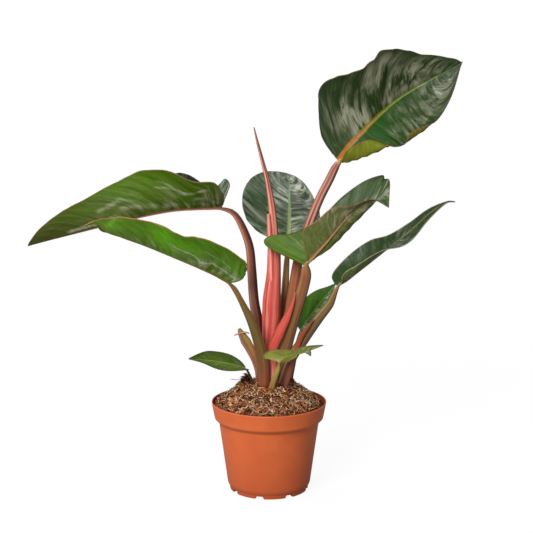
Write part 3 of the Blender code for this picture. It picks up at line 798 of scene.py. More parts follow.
def leaf_face(name, veins, sweep, deep, pale_green_and_glow, pale_green_and_glow_along, pale_green_and_glow_across, rib, rib_width, tint_and_sheen_along=0,
              tint_and_sheen_across=1, tint_and_sheen=(150, 150, 136), tint_and_sheen_late=0.0, rough=(0.30, 0.46), edge=(92, 60, 44),
              gloss=0.4, seed=0.0, crease_highlights=()):
    """One waxy face of a blade: deep green clouded with lighter green, veins and a toned midrib.

    The lighter-green shares say where along and across the blade the lighter green shows, which
    is in part painted glow where light falls on or through the blade. The streak shares say where
    the pale streaks show: painted sheen for the most part, in places a paler or browner tint of the
    leaf itself; the late share is how much further along the streaks start on the right half. The
    crease entries are painted highlights along creases, from one (along, across) place to another.
    """
    made, tree, shader = new_material(name)
    _, across, along = own_map(tree)
    off_middle = abs(across - 0.5) * 2.0
    side = (across - 0.5).sum("SIGN")
    phase = (along - off_middle ** 1.5 * sweep) * veins + side * 0.23
    flow = node(tree, "CombineXYZ", "Vector", {"X": phase, "Y": off_middle * 1.3, "Z": side * 3.0 + seed})
    cloud = noise_on(flow, 0.55)
    patch = noise_on(stretched(flow, (0.45, 1.3, 1)), 1, 3, 0.5, 0.4)
    streak = noise_on(stretched(flow, (2, 1.5, 1)), 1, 5, 0.62, 0.7)
    hair = noise_on(stretched(flow, (8, 1.6, 1)), 1, 3)
    mottle = noise_on(stretched(flow, (3, 5, 1)), 1, 4, 0.6)
    # The lighter green, in part painted glow where light falls on or through the blade.
    share = graded(along, pale_green_and_glow_along) * graded(across, pale_green_and_glow_across) * spread(cloud, 0.35, 0.6, 0.5, 1.1)
    body = blend(share, deep, pale_green_and_glow)
    body = blend(spread(mottle, 0.45, 0.75, 0, 0.35), body, DARK_CLOUD)
    body = blend(spread(phase.sum("PINGPONG", 0.5), 0, 0.07, 0.12, 0), body, PALE_VEIN)
    # The pale streaks along the veins: painted sheen for the most part, in places a tint of the leaf itself.
    started = along - side.sum("MAXIMUM", 0.0) * tint_and_sheen_late
    combed = streak + hair * 0.22
    tint_and_sheen_share = graded(started, tint_and_sheen_along) * graded(across, tint_and_sheen_across) * spread(patch, 0.4, 0.58, 0.15, 1)
    tint_and_sheen_share = tint_and_sheen_share * spread(combed, 0.54, 0.74)
    body = blend(tint_and_sheen_share, body, tint_and_sheen)
    wobble = (mottle - 0.5) * 0.06
    # Painted highlights along the creases.
    for (start, start_across), (end, end_across), half_width, strength in crease_highlights:
        away = abs(across - (spread(along, start, end, start_across, end_across) + wobble))
        there = graded(along, {start - 0.015: 0, start + 0.01: 1, end - 0.01: 1, end + 0.015: 0})
        line = there * spread(away, half_width * 0.1, half_width, strength, 0)
        body = blend(line * spread(combed, 0.45, 0.68, 0.25, 1.3), body, CREASE_HIGHLIGHT)
    from_rib, from_edge = (node(tree, "Attribute", "Fac", attribute_name=key) for key in ("from_rib", "from_edge"))
    width = (1.05 - along) * rib_width
    body = blend(spread(from_rib.sum("DIVIDE", width), 0.7, 1.1, 0.97, 0), body, graded(along, rib))
    body = blend(spread(from_edge, 0.2, 0.9, 0.9, 0), body, edge)
    dress(shader, body, spread(streak, 0.4, 0.66, rough[1], rough[0]), spread(tint_and_sheen_share, 0, 0.6, gloss * 0.4, gloss))
    raised(hair * 0.5 + streak, 0.0006, shader)
    return made


def leaf_margin(name, tone):
    """The thin cartilage edge of a blade."""
    made, tree, shader = new_material(name)
    dress(shader, graded(noise_on(object_place(tree), 160, 3), {0.35: tone, 0.7: (92, 62, 40)}), 0.5)
    return made


def stalk_skin(name, along, shade, side, width, streak, lines=(), rough=0.34, lines_from=0.0, lines_to=1.0):
    """A smooth fleshy stalk: its colour runs along it, with a darker side, streaks and lines.

    side and width say where round the stalk the darker side lies, mostly a painted shade, from 0 on
    the right over 0.5 on the left to 0.75 in front. lines are (place round it, colour, half width,
    share) of the fine lines that run up it: partly the stalk's own striping, partly painted
    highlight and shade stripes.
    """
    made, tree, shader = new_material(name)
    uv, around, upward = own_map(tree)
    wander = noise_on(stretched(uv, (4, 2, 1)), 1.5, 3)
    sway = spread(wander, 0.3, 0.7, -0.03, 0.03)
    streaks = noise_on(stretched(uv, (46, 3, 1)), 1, 3, 0.6)
    dark = noise_on(stretched(uv, (30, 5, 1)), 1, 4, 0.6)
    lined = graded(upward, {max(lines_from - 0.08, 0): 0.15, lines_from + 0.02: 1, lines_to - 0.02: 1,
                            min(lines_to + 0.02, 1): 0})
    body = blend(lined * spread(streaks, 0.5, 0.75, 0, 0.55), graded(upward, along), streak)
    body = blend(spread(dark, 0.52, 0.72, 0, 0.4), body, shade)
    # The side tone is mostly painted shade down one side; the pale lines are painted highlights, the dark ones
    # partly striping and partly painted shade.
    for place, tone, half_width, share in ((side, shade, width, 0.92), *lines):
        away = (around - place).sum("PINGPONG", 0.5) + sway
        body = blend(lined * spread(away, half_width * 0.45, half_width, share, 0), body, tone)
    dress(shader, body, spread(wander, 0.3, 0.7, rough - 0.05, rough + 0.08))
    raised(streaks, 0.0004, shader, 0.6)
    return made


def grown_leaf(letter, grid, veins, margin, rib, upper, under, stations, skin):
    """A whole leaf: the veined blade with its two faces and margin, and the stalk that carries it.

    veins are the count and sweep of the side veins, how deep they are pressed, the waves of the
    margin and their height, and a seed; rib is half the midrib's thickness at the stalk, whose
    stations run on under the blade.
    """
    grid = veined(grid, *veins)
    name = "leaf_" + letter
    faces = [leaf_face(name + side, *veins[:2], **look) for side, look in (("_upper", upper), ("_under", under))]
    leaf_blade(name, grid, [*faces, leaf_margin(name + "_margin", margin)], name + "_blade")
    leaf_stalk(name + "_petiole", stations + under_rib(grid, rib), skin, name + "_stalk")


grid_a = heart_grid([(63, 2, 308), (78, -3, 328), (116, -8, 365), (170.5, -15, 397)], half_width=(53, 53),
    faces=[(-25, 55), (-15, 15), (10, 15)], fold=([15, 40, 20], [35, 40, 15]), curl=([-10, 15, -15], [5, -5, -25]),
    lobe=(0.09, 0.09), widest=0.39, fullness=0.79, swell=([1.25, 1.1, 1.05, 1.04, 1.07, 1.07, 1.02, 0.95, 0.92,
    1.01, 1.17, 1.12, 1.02, 0.88, 0.9, 0.9, 1.2], [1, 1]))
grid_a = led_half(grid_a, [[(66, 0, 306.5), (74, -16, 309.5), (80.5, -28, 313), (87, -36, 316.5), (94, -42, 320.5),
    (102, -45, 324), (109, -47, 325.5), (115.5, -47, 328), (125, -45, 332), (135, -41, 338), (146, -34, 348),
    (159.5, -24, 368.5), (170.5, -15, 398)], [(67, -3, 311.5), (69.5, -9, 318), (74, -14, 322.5), (81, -24, 327),
    (89, -30, 329), (98, -39, 328), (107.5, -48.5, 325), (116.5, -48.5, 328.5), (122, -44, 336), (130.5, -42, 341),
    (146.5, -35, 347.5), (160.5, -24.5, 368), (170.7, -15, 397.8)]], [((0.3, 0.5, -0.8), [0, 0, 1, 2, 3, 3, 3, 3, 4,
    5, 4, 4, 0]), ((0.25, -0.75, 0.3), [0, 3, 5, 6, 6, 4, 0, 0, 3, 3, 1, 0, 0])])
grown_leaf(
    "a", grid_a, veins=(11, 0.16, 0.34, 3.5, 1.2, 2.1), margin=(92, 60, 44), rib=1.5,
    upper=dict(deep=(36, 50, 20), pale_green_and_glow=(22, 72, 12), pale_green_and_glow_along={0: 1, 0.45: 0.9, 0.7: 0.3, 1: 0.1},
        pale_green_and_glow_across={0: 0.15, 0.45: 0.1, 0.55: 1, 0.85: 0.8, 1: 0.3}, rib={0: (160, 92, 34), 0.3: (138, 96, 24),
        0.55: (92, 108, 24), 0.8: (86, 108, 40), 0.95: (66, 84, 44)}, rib_width=4.4, tint_and_sheen_along={0: 0, 0.1: 0.2,
        0.22: 0.75, 0.34: 1.5, 0.62: 1.2, 0.76: 0.9, 0.88: 0.5, 1: 0.15}, tint_and_sheen_across={0: 0.15, 0.1: 0.8,
        0.25: 1.25, 0.44: 1.15, 0.51: 0.25, 0.58: 0.5, 0.66: 0.7, 0.8: 0.7, 1: 0.2}, tint_and_sheen=(132, 131, 108),
        tint_and_sheen_late=0.34, seed=3),
    under=dict(deep=(82, 76, 20), pale_green_and_glow=(98, 110, 8), pale_green_and_glow_along={0: 0.5, 0.1: 0.9, 0.4: 1, 0.5: 0.4, 0.56: 0,
        1: 0}, pale_green_and_glow_across={0: 1, 0.5: 0.5, 0.8: 0.3, 0.9: 1, 0.97: 0.8, 1: 0.3}, rib={0: (150, 110, 66),
        1: (130, 120, 60)}, rib_width=2, tint_and_sheen_along={0: 0, 0.36: 0.2, 0.44: 0.6, 0.56: 1, 1: 1},
        tint_and_sheen=(122, 104, 74), edge=(140, 84, 40), gloss=0.2),
    stations=[(9, 13, 100, 5, 3.6), (15, 13, 139, 5, 4), (20, 14, 168, 5, 4.2), (27, 16, 213, 4.6, 4),
        (36, 15, 244, 4.4, 3.8), (46, 13, 271, 4, 3.4), (55, 8.6, 290, 3.9, 3.2), (61, 3.8, 303.5, 3.5, 2.8)],
    # The stalk's darker right side is painted shade, and its pale lines are painted highlights.
    skin=dict(along={0: (120, 66, 36), 0.3: (150, 82, 46), 0.42: (150, 86, 58), 0.55: (158, 94, 82),
        0.624: (150, 80, 70), 0.634: (176, 152, 100), 0.645: (150, 90, 34), 0.8: (110, 104, 30), 1: (96, 112, 46)},
        shade=(100, 52, 38), side=0, width=0.18, streak=(180, 130, 112), lines=[(0.64, (196, 150, 132), 0.035, 0.8),
        (0.7, (104, 50, 38), 0.02, 0.8), (0.79, (206, 160, 142), 0.03, 0.8), (0.88, (112, 60, 44), 0.03, 0.6),
        (0.5, (112, 56, 40), 0.06, 0.7)], lines_from=0.44, lines_to=0.62))


# ---------------------------------------------------------------- leaf B, arching out to the left
# The longest leaf, folded along its midrib and hanging to a drawn-out tip, on a stalk that
# stands up and then bows over. Light through its near half is painted in as bright green.

grid_b = heart_grid([(-43, 5, 266), (-90, -6, 264), (-143, -16, 253.2), (-216, -27, 235.4)], half_width=(40, 40),
    faces=[(-160, 65), (-155, 50), (-155, 45)], fold=([20, 55, 40], [55, 80, 62, 35, 30, 20]), curl=([-15, 35, 20],
    [-5, 10, 5]), lobe=(0.12, 0.12), widest=0.35, fullness=0.71, swell=([0.4, 0.4, 0.74, 1, 0.83, 1.01, 1.03, 1,
    0.97, 0.955, 0.95, 0.945, 0.97, 1.01, 1.06, 1.1, 0.95], [1, 1]))
grid_b = led_half(grid_b, [[(-42, 6, 269), (-38, 10, 279), (-36.5, 16, 286.5), (-40.5, 18, 290), (-47, 24, 282),
    (-57.5, 28, 281.5), (-67, 28, 288.5), (-77, 26, 294), (-88, 22, 294), (-111, 14, 282), (-145, 2, 266),
    (-180, -12, 250), (-216, -27, 234.6)]], [((0, 0.8, -0.6), [0, 2, 6, 10, 14, 16, 16, 16, 15, 12, 8, 4, 0])])
grown_leaf(
    "b", grid_b, veins=(15, 0.16, 0.3, 4, 1, 5.3), margin=(134, 84, 60), rib=1.3,
    upper=dict(deep=(24, 38, 24), pale_green_and_glow=(70, 94, 66), pale_green_and_glow_along={0: 1, 0.3: 1, 0.42: 0, 1: 0.3},
        pale_green_and_glow_across={0: 0.4, 1: 0.8}, rib={0: (140, 84, 60), 1: (96, 90, 50)}, rib_width=1.4, tint_and_sheen_along={0: 1,
        0.34: 0.9, 0.44: 0.1, 1: 0.3}),
    under=dict(deep=(50, 50, 12), pale_green_and_glow=(68, 100, 4), pale_green_and_glow_along={0: 1.5, 0.12: 1.5, 0.22: 1.25, 0.32: 0.95,
        0.55: 0.75, 0.75: 0.65, 0.9: 0.3, 1: 0.1}, pale_green_and_glow_across={0: 1, 0.22: 1, 0.34: 0.8, 0.44: 0.5, 0.5: 0.4,
        1: 0.2}, rib={0: (172, 102, 72), 0.5: (150, 94, 54), 1: (70, 76, 30)}, rib_width=1.5, tint_and_sheen_along={0: 2.6,
        0.16: 2.6, 0.26: 1.2, 0.36: 0.5, 0.5: 0.4, 0.62: 0.3, 0.75: 0.1, 0.9: 0.05, 1: 0}, tint_and_sheen_across={0: 0.1,
        0.14: 0.3, 0.26: 0.5, 0.42: 0.7, 0.48: 0.5, 1: 0.4}, tint_and_sheen=(150, 142, 108), edge=(128, 78, 52),
        rough=(0.42, 0.56), gloss=0.2, seed=4, crease_highlights=[((0.28, 0.26), (0.33, 0.14), 0.034, 0.36),
        ((0.19, 0.17), (0.28, 0.26), 0.034, 0.4), ((0.24, 0.25), (0.36, 0.21), 0.02, 0.24),
        ((0.45, 0.38), (0.53, 0.22), 0.045, 0.22), ((0.53, 0.22), (0.66, 0.27), 0.045, 0.22),
        ((0.4, 0.42), (0.56, 0.33), 0.045, 0.26), ((0.08, 0.28), (0.24, 0.34), 0.05, 0.2),
        ((0.12, 0.4), (0.38, 0.44), 0.04, 0.14), ((0.6, 0.43), (0.82, 0.44), 0.045, 0.3)]),
    stations=[(-4, 15, 100, 4.6, 3.8), (-7, 15, 134, 4.8, 4), (-11, 13, 160, 4.8, 4), (-14, 11, 178, 4.5, 3.8),
        (-16, 9, 207, 4.2, 3.6), (-18, 7, 229, 3.8, 3.2), (-25, 6, 248.5, 3.3, 3), (-33, 5.6, 260.5, 2.6, 2.4)],
    skin=dict(along={0: (112, 66, 40), 0.25: (122, 74, 50), 0.42: (160, 94, 72), 0.55: (178, 104, 80),
        0.62: (192, 124, 94), 0.8: (186, 128, 90), 1: (150, 96, 56)}, shade=(52, 22, 20), side=0.95, width=0.22,
        streak=(200, 146, 128), lines=[(0.62, (196, 140, 122), 0.05, 0.6), (0.74, (112, 58, 46), 0.02, 0.7),
        (0.5, (120, 62, 48), 0.05, 0.6)]))


# ---------------------------------------------------------------- leaf C, behind the spear
# A rounded dark leaf facing the front and leaning away, its midrib pale green, on a slim
# greenish stalk that is mostly hidden.

grid_c = heart_grid([(18, 30, 231), (19.5, 54, 248), (20, 85, 266), (20.5, 133, 282.5)], half_width=(44.6, 42.6),
    faces=[(0, 60), (20, 50), (20, 55)], fold=([5, 10, 20], [20, -10, 10]), curl=([0, -10, 5], [-20, -35, -5]),
    lobe=(0.07, 0.07), widest=0.39, fullness=0.79, swell=([0.85, 0.85, 0.9, 1, 1.05, 1.06, 1.07, 1.1, 1.14, 1.14,
    1.12, 1.1, 1], [1, 1, 0.96, 0.88, 0.82, 0.86, 0.95, 1.06, 1.1, 1, 0.93, 0.91, 1]))
grown_leaf(
    "c", grid_c, veins=(11, 0.18, 0.3, 3, 0.6, 1.4), margin=(92, 60, 44), rib=1.5,
    upper=dict(deep=(34, 52, 26), pale_green_and_glow=(50, 78, 38), pale_green_and_glow_along=0.6, pale_green_and_glow_across=0.6, rib={0: (122, 150, 84),
        0.6: (112, 142, 92), 1: (80, 110, 60)}, rib_width=2.6, tint_and_sheen_along={0: 0.7, 0.5: 1, 1: 1},
        tint_and_sheen_across={0: 0.6, 0.25: 0.4, 0.38: 1, 0.6: 1, 1: 0.9}, tint_and_sheen=(178, 180, 162), seed=7),
    under=dict(deep=(66, 84, 38), pale_green_and_glow=(90, 112, 52), pale_green_and_glow_along=0.6, pale_green_and_glow_across=0.6, rib={0: (124, 130, 76),
        1: (110, 120, 70)}, rib_width=1.8, gloss=0.25),
    stations=[(9, 21, 100, 3.8, 2.6), (13.6, 22, 166, 3.5, 2.6), (15.4, 23, 190, 3.3, 2.4),
        (16.6, 25, 211, 2.6, 2)],
    # The stalk is painted paler from about 0.42 along: painted light on a stretch that lies in the leaves' shade.
    skin=dict(along={0: (110, 60, 40), 0.32: (116, 76, 46), 0.42: (190, 154, 96), 0.52: (190, 162, 98),
        0.7: (134, 124, 70), 1: (120, 140, 84)}, shade=(70, 46, 34), side=0, width=0.16, streak=(160, 140, 110)))


# ---------------------------------------------------------------- leaf D, rolled over in front
# A leaf that has twisted on itself: the near half and the foot show their olive underside, the
# far half its glossy upper face, and the tip hooks over. Its margin is torn brown at the foot.


def rolled_grid(midrib, near, far, near_sag, far_sag):
    """A twisted blade stretched from its midrib to its near and far margins.

    near_sag and far_sag are (direction, keys): how far each half hangs out of the straight.
    """
    rows, half = BLADE_ROWS, BLADE_HALF
    mid, left, right = (keyed_curve(c, rows + 1) for c in (midrib, far, near))
    belly_far = mid + keyed_curve(far_sag[1], rows + 1) * np.array(far_sag[0])
    belly_near = (mid + right) / 2 + keyed_curve(near_sag[1], rows + 1) * np.array(near_sag[0])
    grid = np.zeros((rows + 1, 2 * half + 1, 3))
    for j in range(half + 1):
        t = j / half
        grid[:, half - j] = (1 - t) ** 2 * mid + 2 * t * (1 - t) * belly_far + t * t * left
        grid[:, half + j] = (1 - t) ** 2 * mid + 2 * t * (1 - t) * belly_near + t * t * right
    return grid


grid_d = rolled_grid([(33, -17, 215), (40, -20.5, 224.3), (48, -24.5, 233.8), (56.5, -27.5, 244.5),
    (65, -29, 255.8), (76.5, -28, 267.5), (94, -24, 277), (107, -27, 270)], near=[(36, -20, 217), (32, -23, 229),
    (30.5, -32, 250), (42, -36, 259), (55, -38, 270), (72, -36, 273), (91, -29, 277), (107, -28, 270)],
    far=[(29, -14, 216), (-2, -12, 232), (-0.5, -10, 241), (22, -8, 244), (46, -2, 256), (67, 2, 276), (86, 1, 290),
    (102, -4, 296), (104.5, -5, 293), (109, -8, 291), (107, -26, 270)], near_sag=((0.5, 0, -0.6),
    [0, 3, 4, 4, 3, 2, 0, 0]), far_sag=((0.65, 0.3, -0.75), [0, 12, 19, 21, 22, 19, 8, 0]))
grown_leaf(
    "d", grid_d, veins=(10, 0.1, 0.26, 3, 0.4, 8.2), margin=(150, 96, 70), rib=1.5,
    upper=dict(deep=(34, 58, 22), pale_green_and_glow=(88, 118, 30), pale_green_and_glow_along={0: 1, 0.26: 1, 0.4: 0.1, 0.7: 0.1, 0.9: 0.35,
        1: 0.4}, pale_green_and_glow_across={0: 1, 0.2: 0.8, 0.4: 0.4, 1: 0.5}, rib={0: (160, 110, 80), 1: (110, 110, 60)},
        rib_width=1.2, tint_and_sheen_along={0: 0, 0.35: 0.1, 0.5: 0.5, 0.75: 1, 1: 0.7}, tint_and_sheen=(158, 162, 142), seed=2),
    under=dict(deep=(98, 104, 54), pale_green_and_glow=(88, 116, 20), pale_green_and_glow_along={0: 1, 0.34: 1, 0.42: 0.3, 0.6: 0.2, 1: 0.5},
        pale_green_and_glow_across={0: 1, 0.3: 1, 0.48: 0.6, 0.52: 0.1, 0.8: 0.4, 1: 0.2}, rib={0: (168, 112, 78),
        0.6: (146, 92, 64), 0.75: (126, 112, 66), 1: (120, 116, 70)}, rib_width=1.9, tint_and_sheen_along={0: 0.2, 0.3: 0.4,
        0.45: 0.7, 0.6: 1, 1: 1}, tint_and_sheen=(156, 148, 118), rough=(0.4, 0.54), edge=(158, 96, 66), gloss=0.25, seed=5),
    stations=[(10, 1, 100, 5.6, 4.2), (15, 0, 133, 5.9, 4.2), (24, -3, 166, 5.2, 4), (30.5, -7, 190, 5.2, 3.8),
        (33.5, -11.5, 204, 4.9, 3.3), (33.5, -14.5, 211, 4.2, 2.8)],
    skin=dict(along={0: (122, 62, 50), 0.12: (120, 80, 50), 0.35: (126, 86, 44), 0.5: (140, 84, 50),
        0.58: (160, 120, 64), 0.66: (166, 108, 80), 1: (126, 110, 62)}, shade=(92, 46, 34), side=0, width=0.14,
        streak=(168, 118, 78), lines=[(0.6, (170, 128, 84), 0.04, 0.5), (0.86, (156, 96, 70), 0.03, 0.6),
        (0.5, (150, 104, 84), 0.03, 0.7)]))


# ---------------------------------------------------------------- leaf E, low on the right
# A narrow leaf rolled lengthwise like a scroll, edge on to the front, so the glossy far half
# and a strip of the underside show side by side.

grid_e = rolled_grid([(62, -25, 198), (69, -23, 203), (80, -21, 211), (92, -19, 220), (103, -18, 229),
    (115, -18, 237.5), (128, -19, 248.5), (143, -21, 263), (158.5, -24, 274), (166, -25, 274.8)],
    near=[(64.5, -28, 199), (67, -33, 211), (77, -34, 218), (89, -34, 226), (102, -33, 232), (118, -30, 235),
    (129.5, -27, 242), (142.5, -25.5, 258), (157.5, -26, 273), (166, -25.5, 274.6)], far=[(59, -20, 199),
    (57, -12, 205), (63, -6, 213), (78, -4, 227), (93, -4, 237), (109, -6, 242), (126, -10, 253), (143, -15, 267),
    (158.2, -22, 274.6), (166, -24.5, 275)], near_sag=((0.4, -0.5, -0.75), [0, 4, 5, 4, 1, 0, 0, 0, 0, 0]),
    far_sag=((0.5, 0.5, -0.85), [0, 4, 6, 6, 5, 4, 3, 2, 0, 0]))
grown_leaf(
    "e", grid_e, veins=(12, 0.1, 0.16, 3, 0.3, 3.9), margin=(150, 138, 112), rib=1,
    upper=dict(deep=(28, 48, 16), pale_green_and_glow=(42, 76, 22), pale_green_and_glow_along={0: 0.8, 0.3: 0.8, 0.65: 0.2, 1: 0},
        pale_green_and_glow_across={0: 0.4, 1: 0.8}, rib={0: (110, 116, 76), 1: (80, 100, 50)}, rib_width=0.9,
        tint_and_sheen_along={0: 0.9, 0.28: 0.45, 0.4: 0.3, 0.54: 0.2, 0.62: 0.8, 0.67: 0.3, 0.72: 0, 1: 0},
        tint_and_sheen_across={0: 0.8, 0.04: 0.3, 0.16: 0.4, 0.3: 0.9, 1: 1}, tint_and_sheen=(160, 160, 142), edge=(170, 164, 140),
        gloss=0.35, seed=9),
    under=dict(deep=(50, 64, 28), pale_green_and_glow=(108, 124, 56), pale_green_and_glow_along={0: 1, 0.5: 0.7, 0.7: 0.2, 1: 0},
        pale_green_and_glow_across={0: 0.6, 1: 0.8}, rib={0: (126, 112, 66), 1: (110, 108, 66)}, rib_width=1, tint_and_sheen_along={0: 0.1,
        0.3: 0.6, 0.42: 1.2, 0.64: 1, 0.72: 0.2, 1: 0}, tint_and_sheen_across=1, tint_and_sheen=(176, 172, 150), rough=(0.4, 0.54),
        edge=(160, 150, 124), gloss=0.25),
    stations=[(11, -8, 98, 4.4, 3.2), (20, -11, 126, 4.8, 3.4), (31.5, -13, 145, 4.8, 3.2),
        (45, -16, 165.5, 4.3, 3), (55, -19, 179.5, 3.7, 2.7), (59.5, -22.5, 191, 2.4, 2)],
    skin=dict(along={0: (110, 56, 46), 0.16: (104, 62, 46), 0.3: (106, 82, 42), 0.46: (122, 94, 52),
        0.56: (132, 110, 64), 0.66: (104, 104, 60), 0.8: (62, 70, 40), 1: (50, 62, 34)}, shade=(58, 36, 22),
        side=0.03, width=0.2, streak=(150, 118, 74), lines=[(0.62, (166, 136, 96), 0.04, 0.6),
        (0.5, (92, 58, 38), 0.04, 0.7)], lines_to=0.6))


# ---------------------------------------------------------------- leaf F, below leaf B
# A fresher, brighter leaf with a pink margin, folded so that its upper half faces the front. Its
# stalk is broad and winged at the foot, where it once sheathed the stem.

grid_f = heart_grid([(-35, -14, 199), (-52, -21, 209.6), (-70, -28, 218.8), (-118, -43, 241.5), (-141, -50, 250.5),
    (-150, -53, 258.5), (-161, -56, 258)], half_width=(33.5, 33.5), faces=[(-165, 70), (-150, 75), (-155, 50)],
    fold=([25, 30, 35], [35, 25, 40]), curl=([5, 0, 10], [10, 5, -5]), lobe=(0.11, 0.09), widest=0.38,
    fullness=0.72, swell=([1.9, 1.25, 1.1, 1.04, 1.07, 1.09, 1, 0.9, 0.96, 1.02, 1.01, 1, 1, 1.02, 1.06, 0.37, 0.3],
    [1, 1, 1, 0.3]), foot=(5.5, 0))
grown_leaf(
    "f", grid_f, veins=(12, 0.18, 0.26, 4, 0.9, 6.6), margin=(186, 112, 84), rib=1.1,
    upper=dict(deep=(44, 70, 28), pale_green_and_glow=(66, 110, 34), pale_green_and_glow_along=0.5, pale_green_and_glow_across=0.6, rib={0: (120, 110, 60),
        1: (96, 104, 50)}, rib_width=1.2, tint_and_sheen_along=0.4),
    under=dict(deep=(72, 94, 26), pale_green_and_glow=(94, 160, 14), pale_green_and_glow_along={0: 0.4, 0.3: 0.6, 0.45: 0.9, 0.56: 1, 0.68: 0.3,
        0.85: 0.4, 1: 0.3}, pale_green_and_glow_across={0: 0.6, 0.25: 1, 0.42: 0.4, 1: 0.2}, rib={0: (120, 110, 50),
        1: (112, 84, 46)}, rib_width=1, tint_and_sheen_along={0: 1, 0.25: 1, 0.5: 0.5, 0.75: 0.2, 1: 0.2},
        tint_and_sheen_across={0: 0, 0.22: 0.1, 0.34: 0.8, 0.42: 1, 0.5: 0.2, 1: 0.5},
        crease_highlights=[((0.05, 0.36), (0.25, 0.34), 0.024, 0.6), ((0.25, 0.34), (0.32, 0.41), 0.024, 0.65),
        ((0.32, 0.41), (0.37, 0.32), 0.024, 0.55), ((0.37, 0.32), (0.5, 0.29), 0.024, 0.5),
        ((0.15, 0.25), (0.34, 0.2), 0.012, 0.35)], tint_and_sheen=(170, 174, 136), edge=(178, 108, 78), rough=(0.4, 0.54),
        gloss=0.22, seed=1),
    stations=[(-4.5, -13, 100, 5.2, 3.8), (-5, -14, 117, 5.9, 3.6), (-7, -15, 134, 5.4, 3.4),
        (-11.5, -15, 150, 4.6, 3.2), (-16.5, -15, 164, 4, 2.9), (-21.5, -14, 174, 3.1, 2.7),
        (-26.5, -14, 184, 2.5, 2.5), (-31.5, -13.6, 193, 2.4, 2)],
    skin=dict(along={0: (146, 64, 46), 0.08: (118, 66, 38), 0.2: (92, 72, 28), 0.32: (94, 80, 30),
        0.42: (126, 90, 44), 1: (120, 110, 60)}, shade=(110, 56, 32), side=0, width=0.13, streak=(156, 112, 56),
        lines=[(0.52, (128, 82, 40), 0.06, 0.8), (0.93, (150, 92, 50), 0.03, 0.9), (0.68, (84, 72, 28), 0.03, 0.6),
        (0.82, (88, 70, 30), 0.025, 0.6)]))


# ---------------------------------------------------------------- leaves G, I and J, low down
# Three small leaves near the crown: G cupped behind leaf E's stalk, I held flat in front with
# its tip hanging, and J lying out over the pot's left edge.

grid_g = heart_grid([(29, 24, 146), (37, 22, 158), (48, 20, 174), (62, 18, 192)], half_width=(18, 18),
    faces=[(-45, 40), (-25, 45), (-45, 35)], fold=([0, 10, -10], [20, 10, 20]), curl=([-20, -20, -15], [0, 5, -10]),
    lobe=(0.1, 0.1), widest=0.38, fullness=0.76)
grown_leaf(
    "g", grid_g, veins=(9, 0.16, 0.12, 3, 0.3, 2.2), margin=(150, 136, 40), rib=1.1,
    upper=dict(deep=(42, 78, 14), pale_green_and_glow=(68, 116, 18), pale_green_and_glow_along={0: 0.6, 1: 0.8}, pale_green_and_glow_across={0: 1, 0.45: 0.8,
        1: 0.2}, rib={0: (130, 140, 80), 1: (110, 130, 60)}, rib_width=0.9, tint_and_sheen_along={0: 0.9, 1: 0.7},
        tint_and_sheen_across={0: 0, 0.48: 0, 0.6: 1, 1: 1}, tint_and_sheen=(176, 186, 156), edge=(140, 128, 24), gloss=0.25),
    under=dict(deep=(72, 96, 40), pale_green_and_glow=(96, 120, 56), pale_green_and_glow_along=0.6, pale_green_and_glow_across=0.6, rib={0: (120, 120, 70),
        1: (110, 120, 60)}, rib_width=0.9),
    stations=[(19, 7, 100, 2.8, 2.4), (24, 13, 122, 2.2, 2), (27.5, 20, 138, 1.5, 1.4)],
    skin=dict(along={0: (110, 60, 42), 0.5: (120, 96, 58), 1: (120, 120, 66)}, shade=(70, 46, 34), side=0,
        width=0.16, streak=(150, 130, 90)))
grid_i = heart_grid([(9, -24, 127), (15, -32, 134), (28, -42, 140), (41, -48, 146), (48, -51, 149.5)],
    half_width=(14, 14), faces=[(-175, 60), (175, 85), (170, 60)], fold=([15, 20, 25], [25, 20, 20]),
    curl=([0, -5, 0], [-15, 5, -5]), lobe=(0.2, 0.2), widest=0.33, fullness=0.7, swell=([1.1, 1.25, 1, 0.9, 0.8],
    [1.1, 1.25, 1, 0.9, 0.8]))
grown_leaf(
    "i", grid_i, veins=(9, 0.16, 0.1, 3, 0.3, 4.7), margin=(130, 104, 60), rib=1.1,
    upper=dict(deep=(84, 106, 34), pale_green_and_glow=(116, 136, 50), pale_green_and_glow_along={0: 1, 1: 0.5}, pale_green_and_glow_across=0.8,
        rib={0: (140, 130, 80), 1: (110, 130, 60)}, rib_width=0.8),
    under=dict(deep=(124, 138, 50), pale_green_and_glow=(226, 240, 100), pale_green_and_glow_along={0: 1, 0.5: 0.9, 0.8: 0.1, 1: 0},
        pale_green_and_glow_across=1, rib={0: (180, 184, 96), 1: (130, 140, 70)}, rib_width=1, tint_and_sheen_along={0: 0.6, 1: 0.9},
        tint_and_sheen=(206, 206, 160), edge=(120, 98, 50), rough=(0.4, 0.54), gloss=0.25),
    stations=[(2, -19.5, 98, 3.6, 2.8), (4, -20.5, 107, 2.8, 2.5), (7, -22, 115.5, 2.5, 2.2),
        (9, -23, 122, 1.9, 1.6)],
    skin=dict(along={0: (130, 76, 44), 0.15: (140, 112, 50), 0.45: (150, 146, 60), 1: (150, 160, 76)},
        shade=(84, 62, 30), side=0, width=0.16, streak=(180, 164, 92)))
leaf_stalk("leaf_i_curl", [(29, -44.5, 145, 1.6, 0.8), (32.5, -46, 143.6, 2.4, 0.8), (35.6, -47, 141.6, 2.2, 0.7),
    (37.2, -47.6, 138.4, 0.3, 0.3)],
    dict(along={0: (130, 138, 60), 0.5: (112, 116, 66), 1: (58, 62, 24)}, shade=(60, 74, 30), side=0.5, width=0.16,
        streak=(180, 184, 140)),
    "leaf_i_blade")
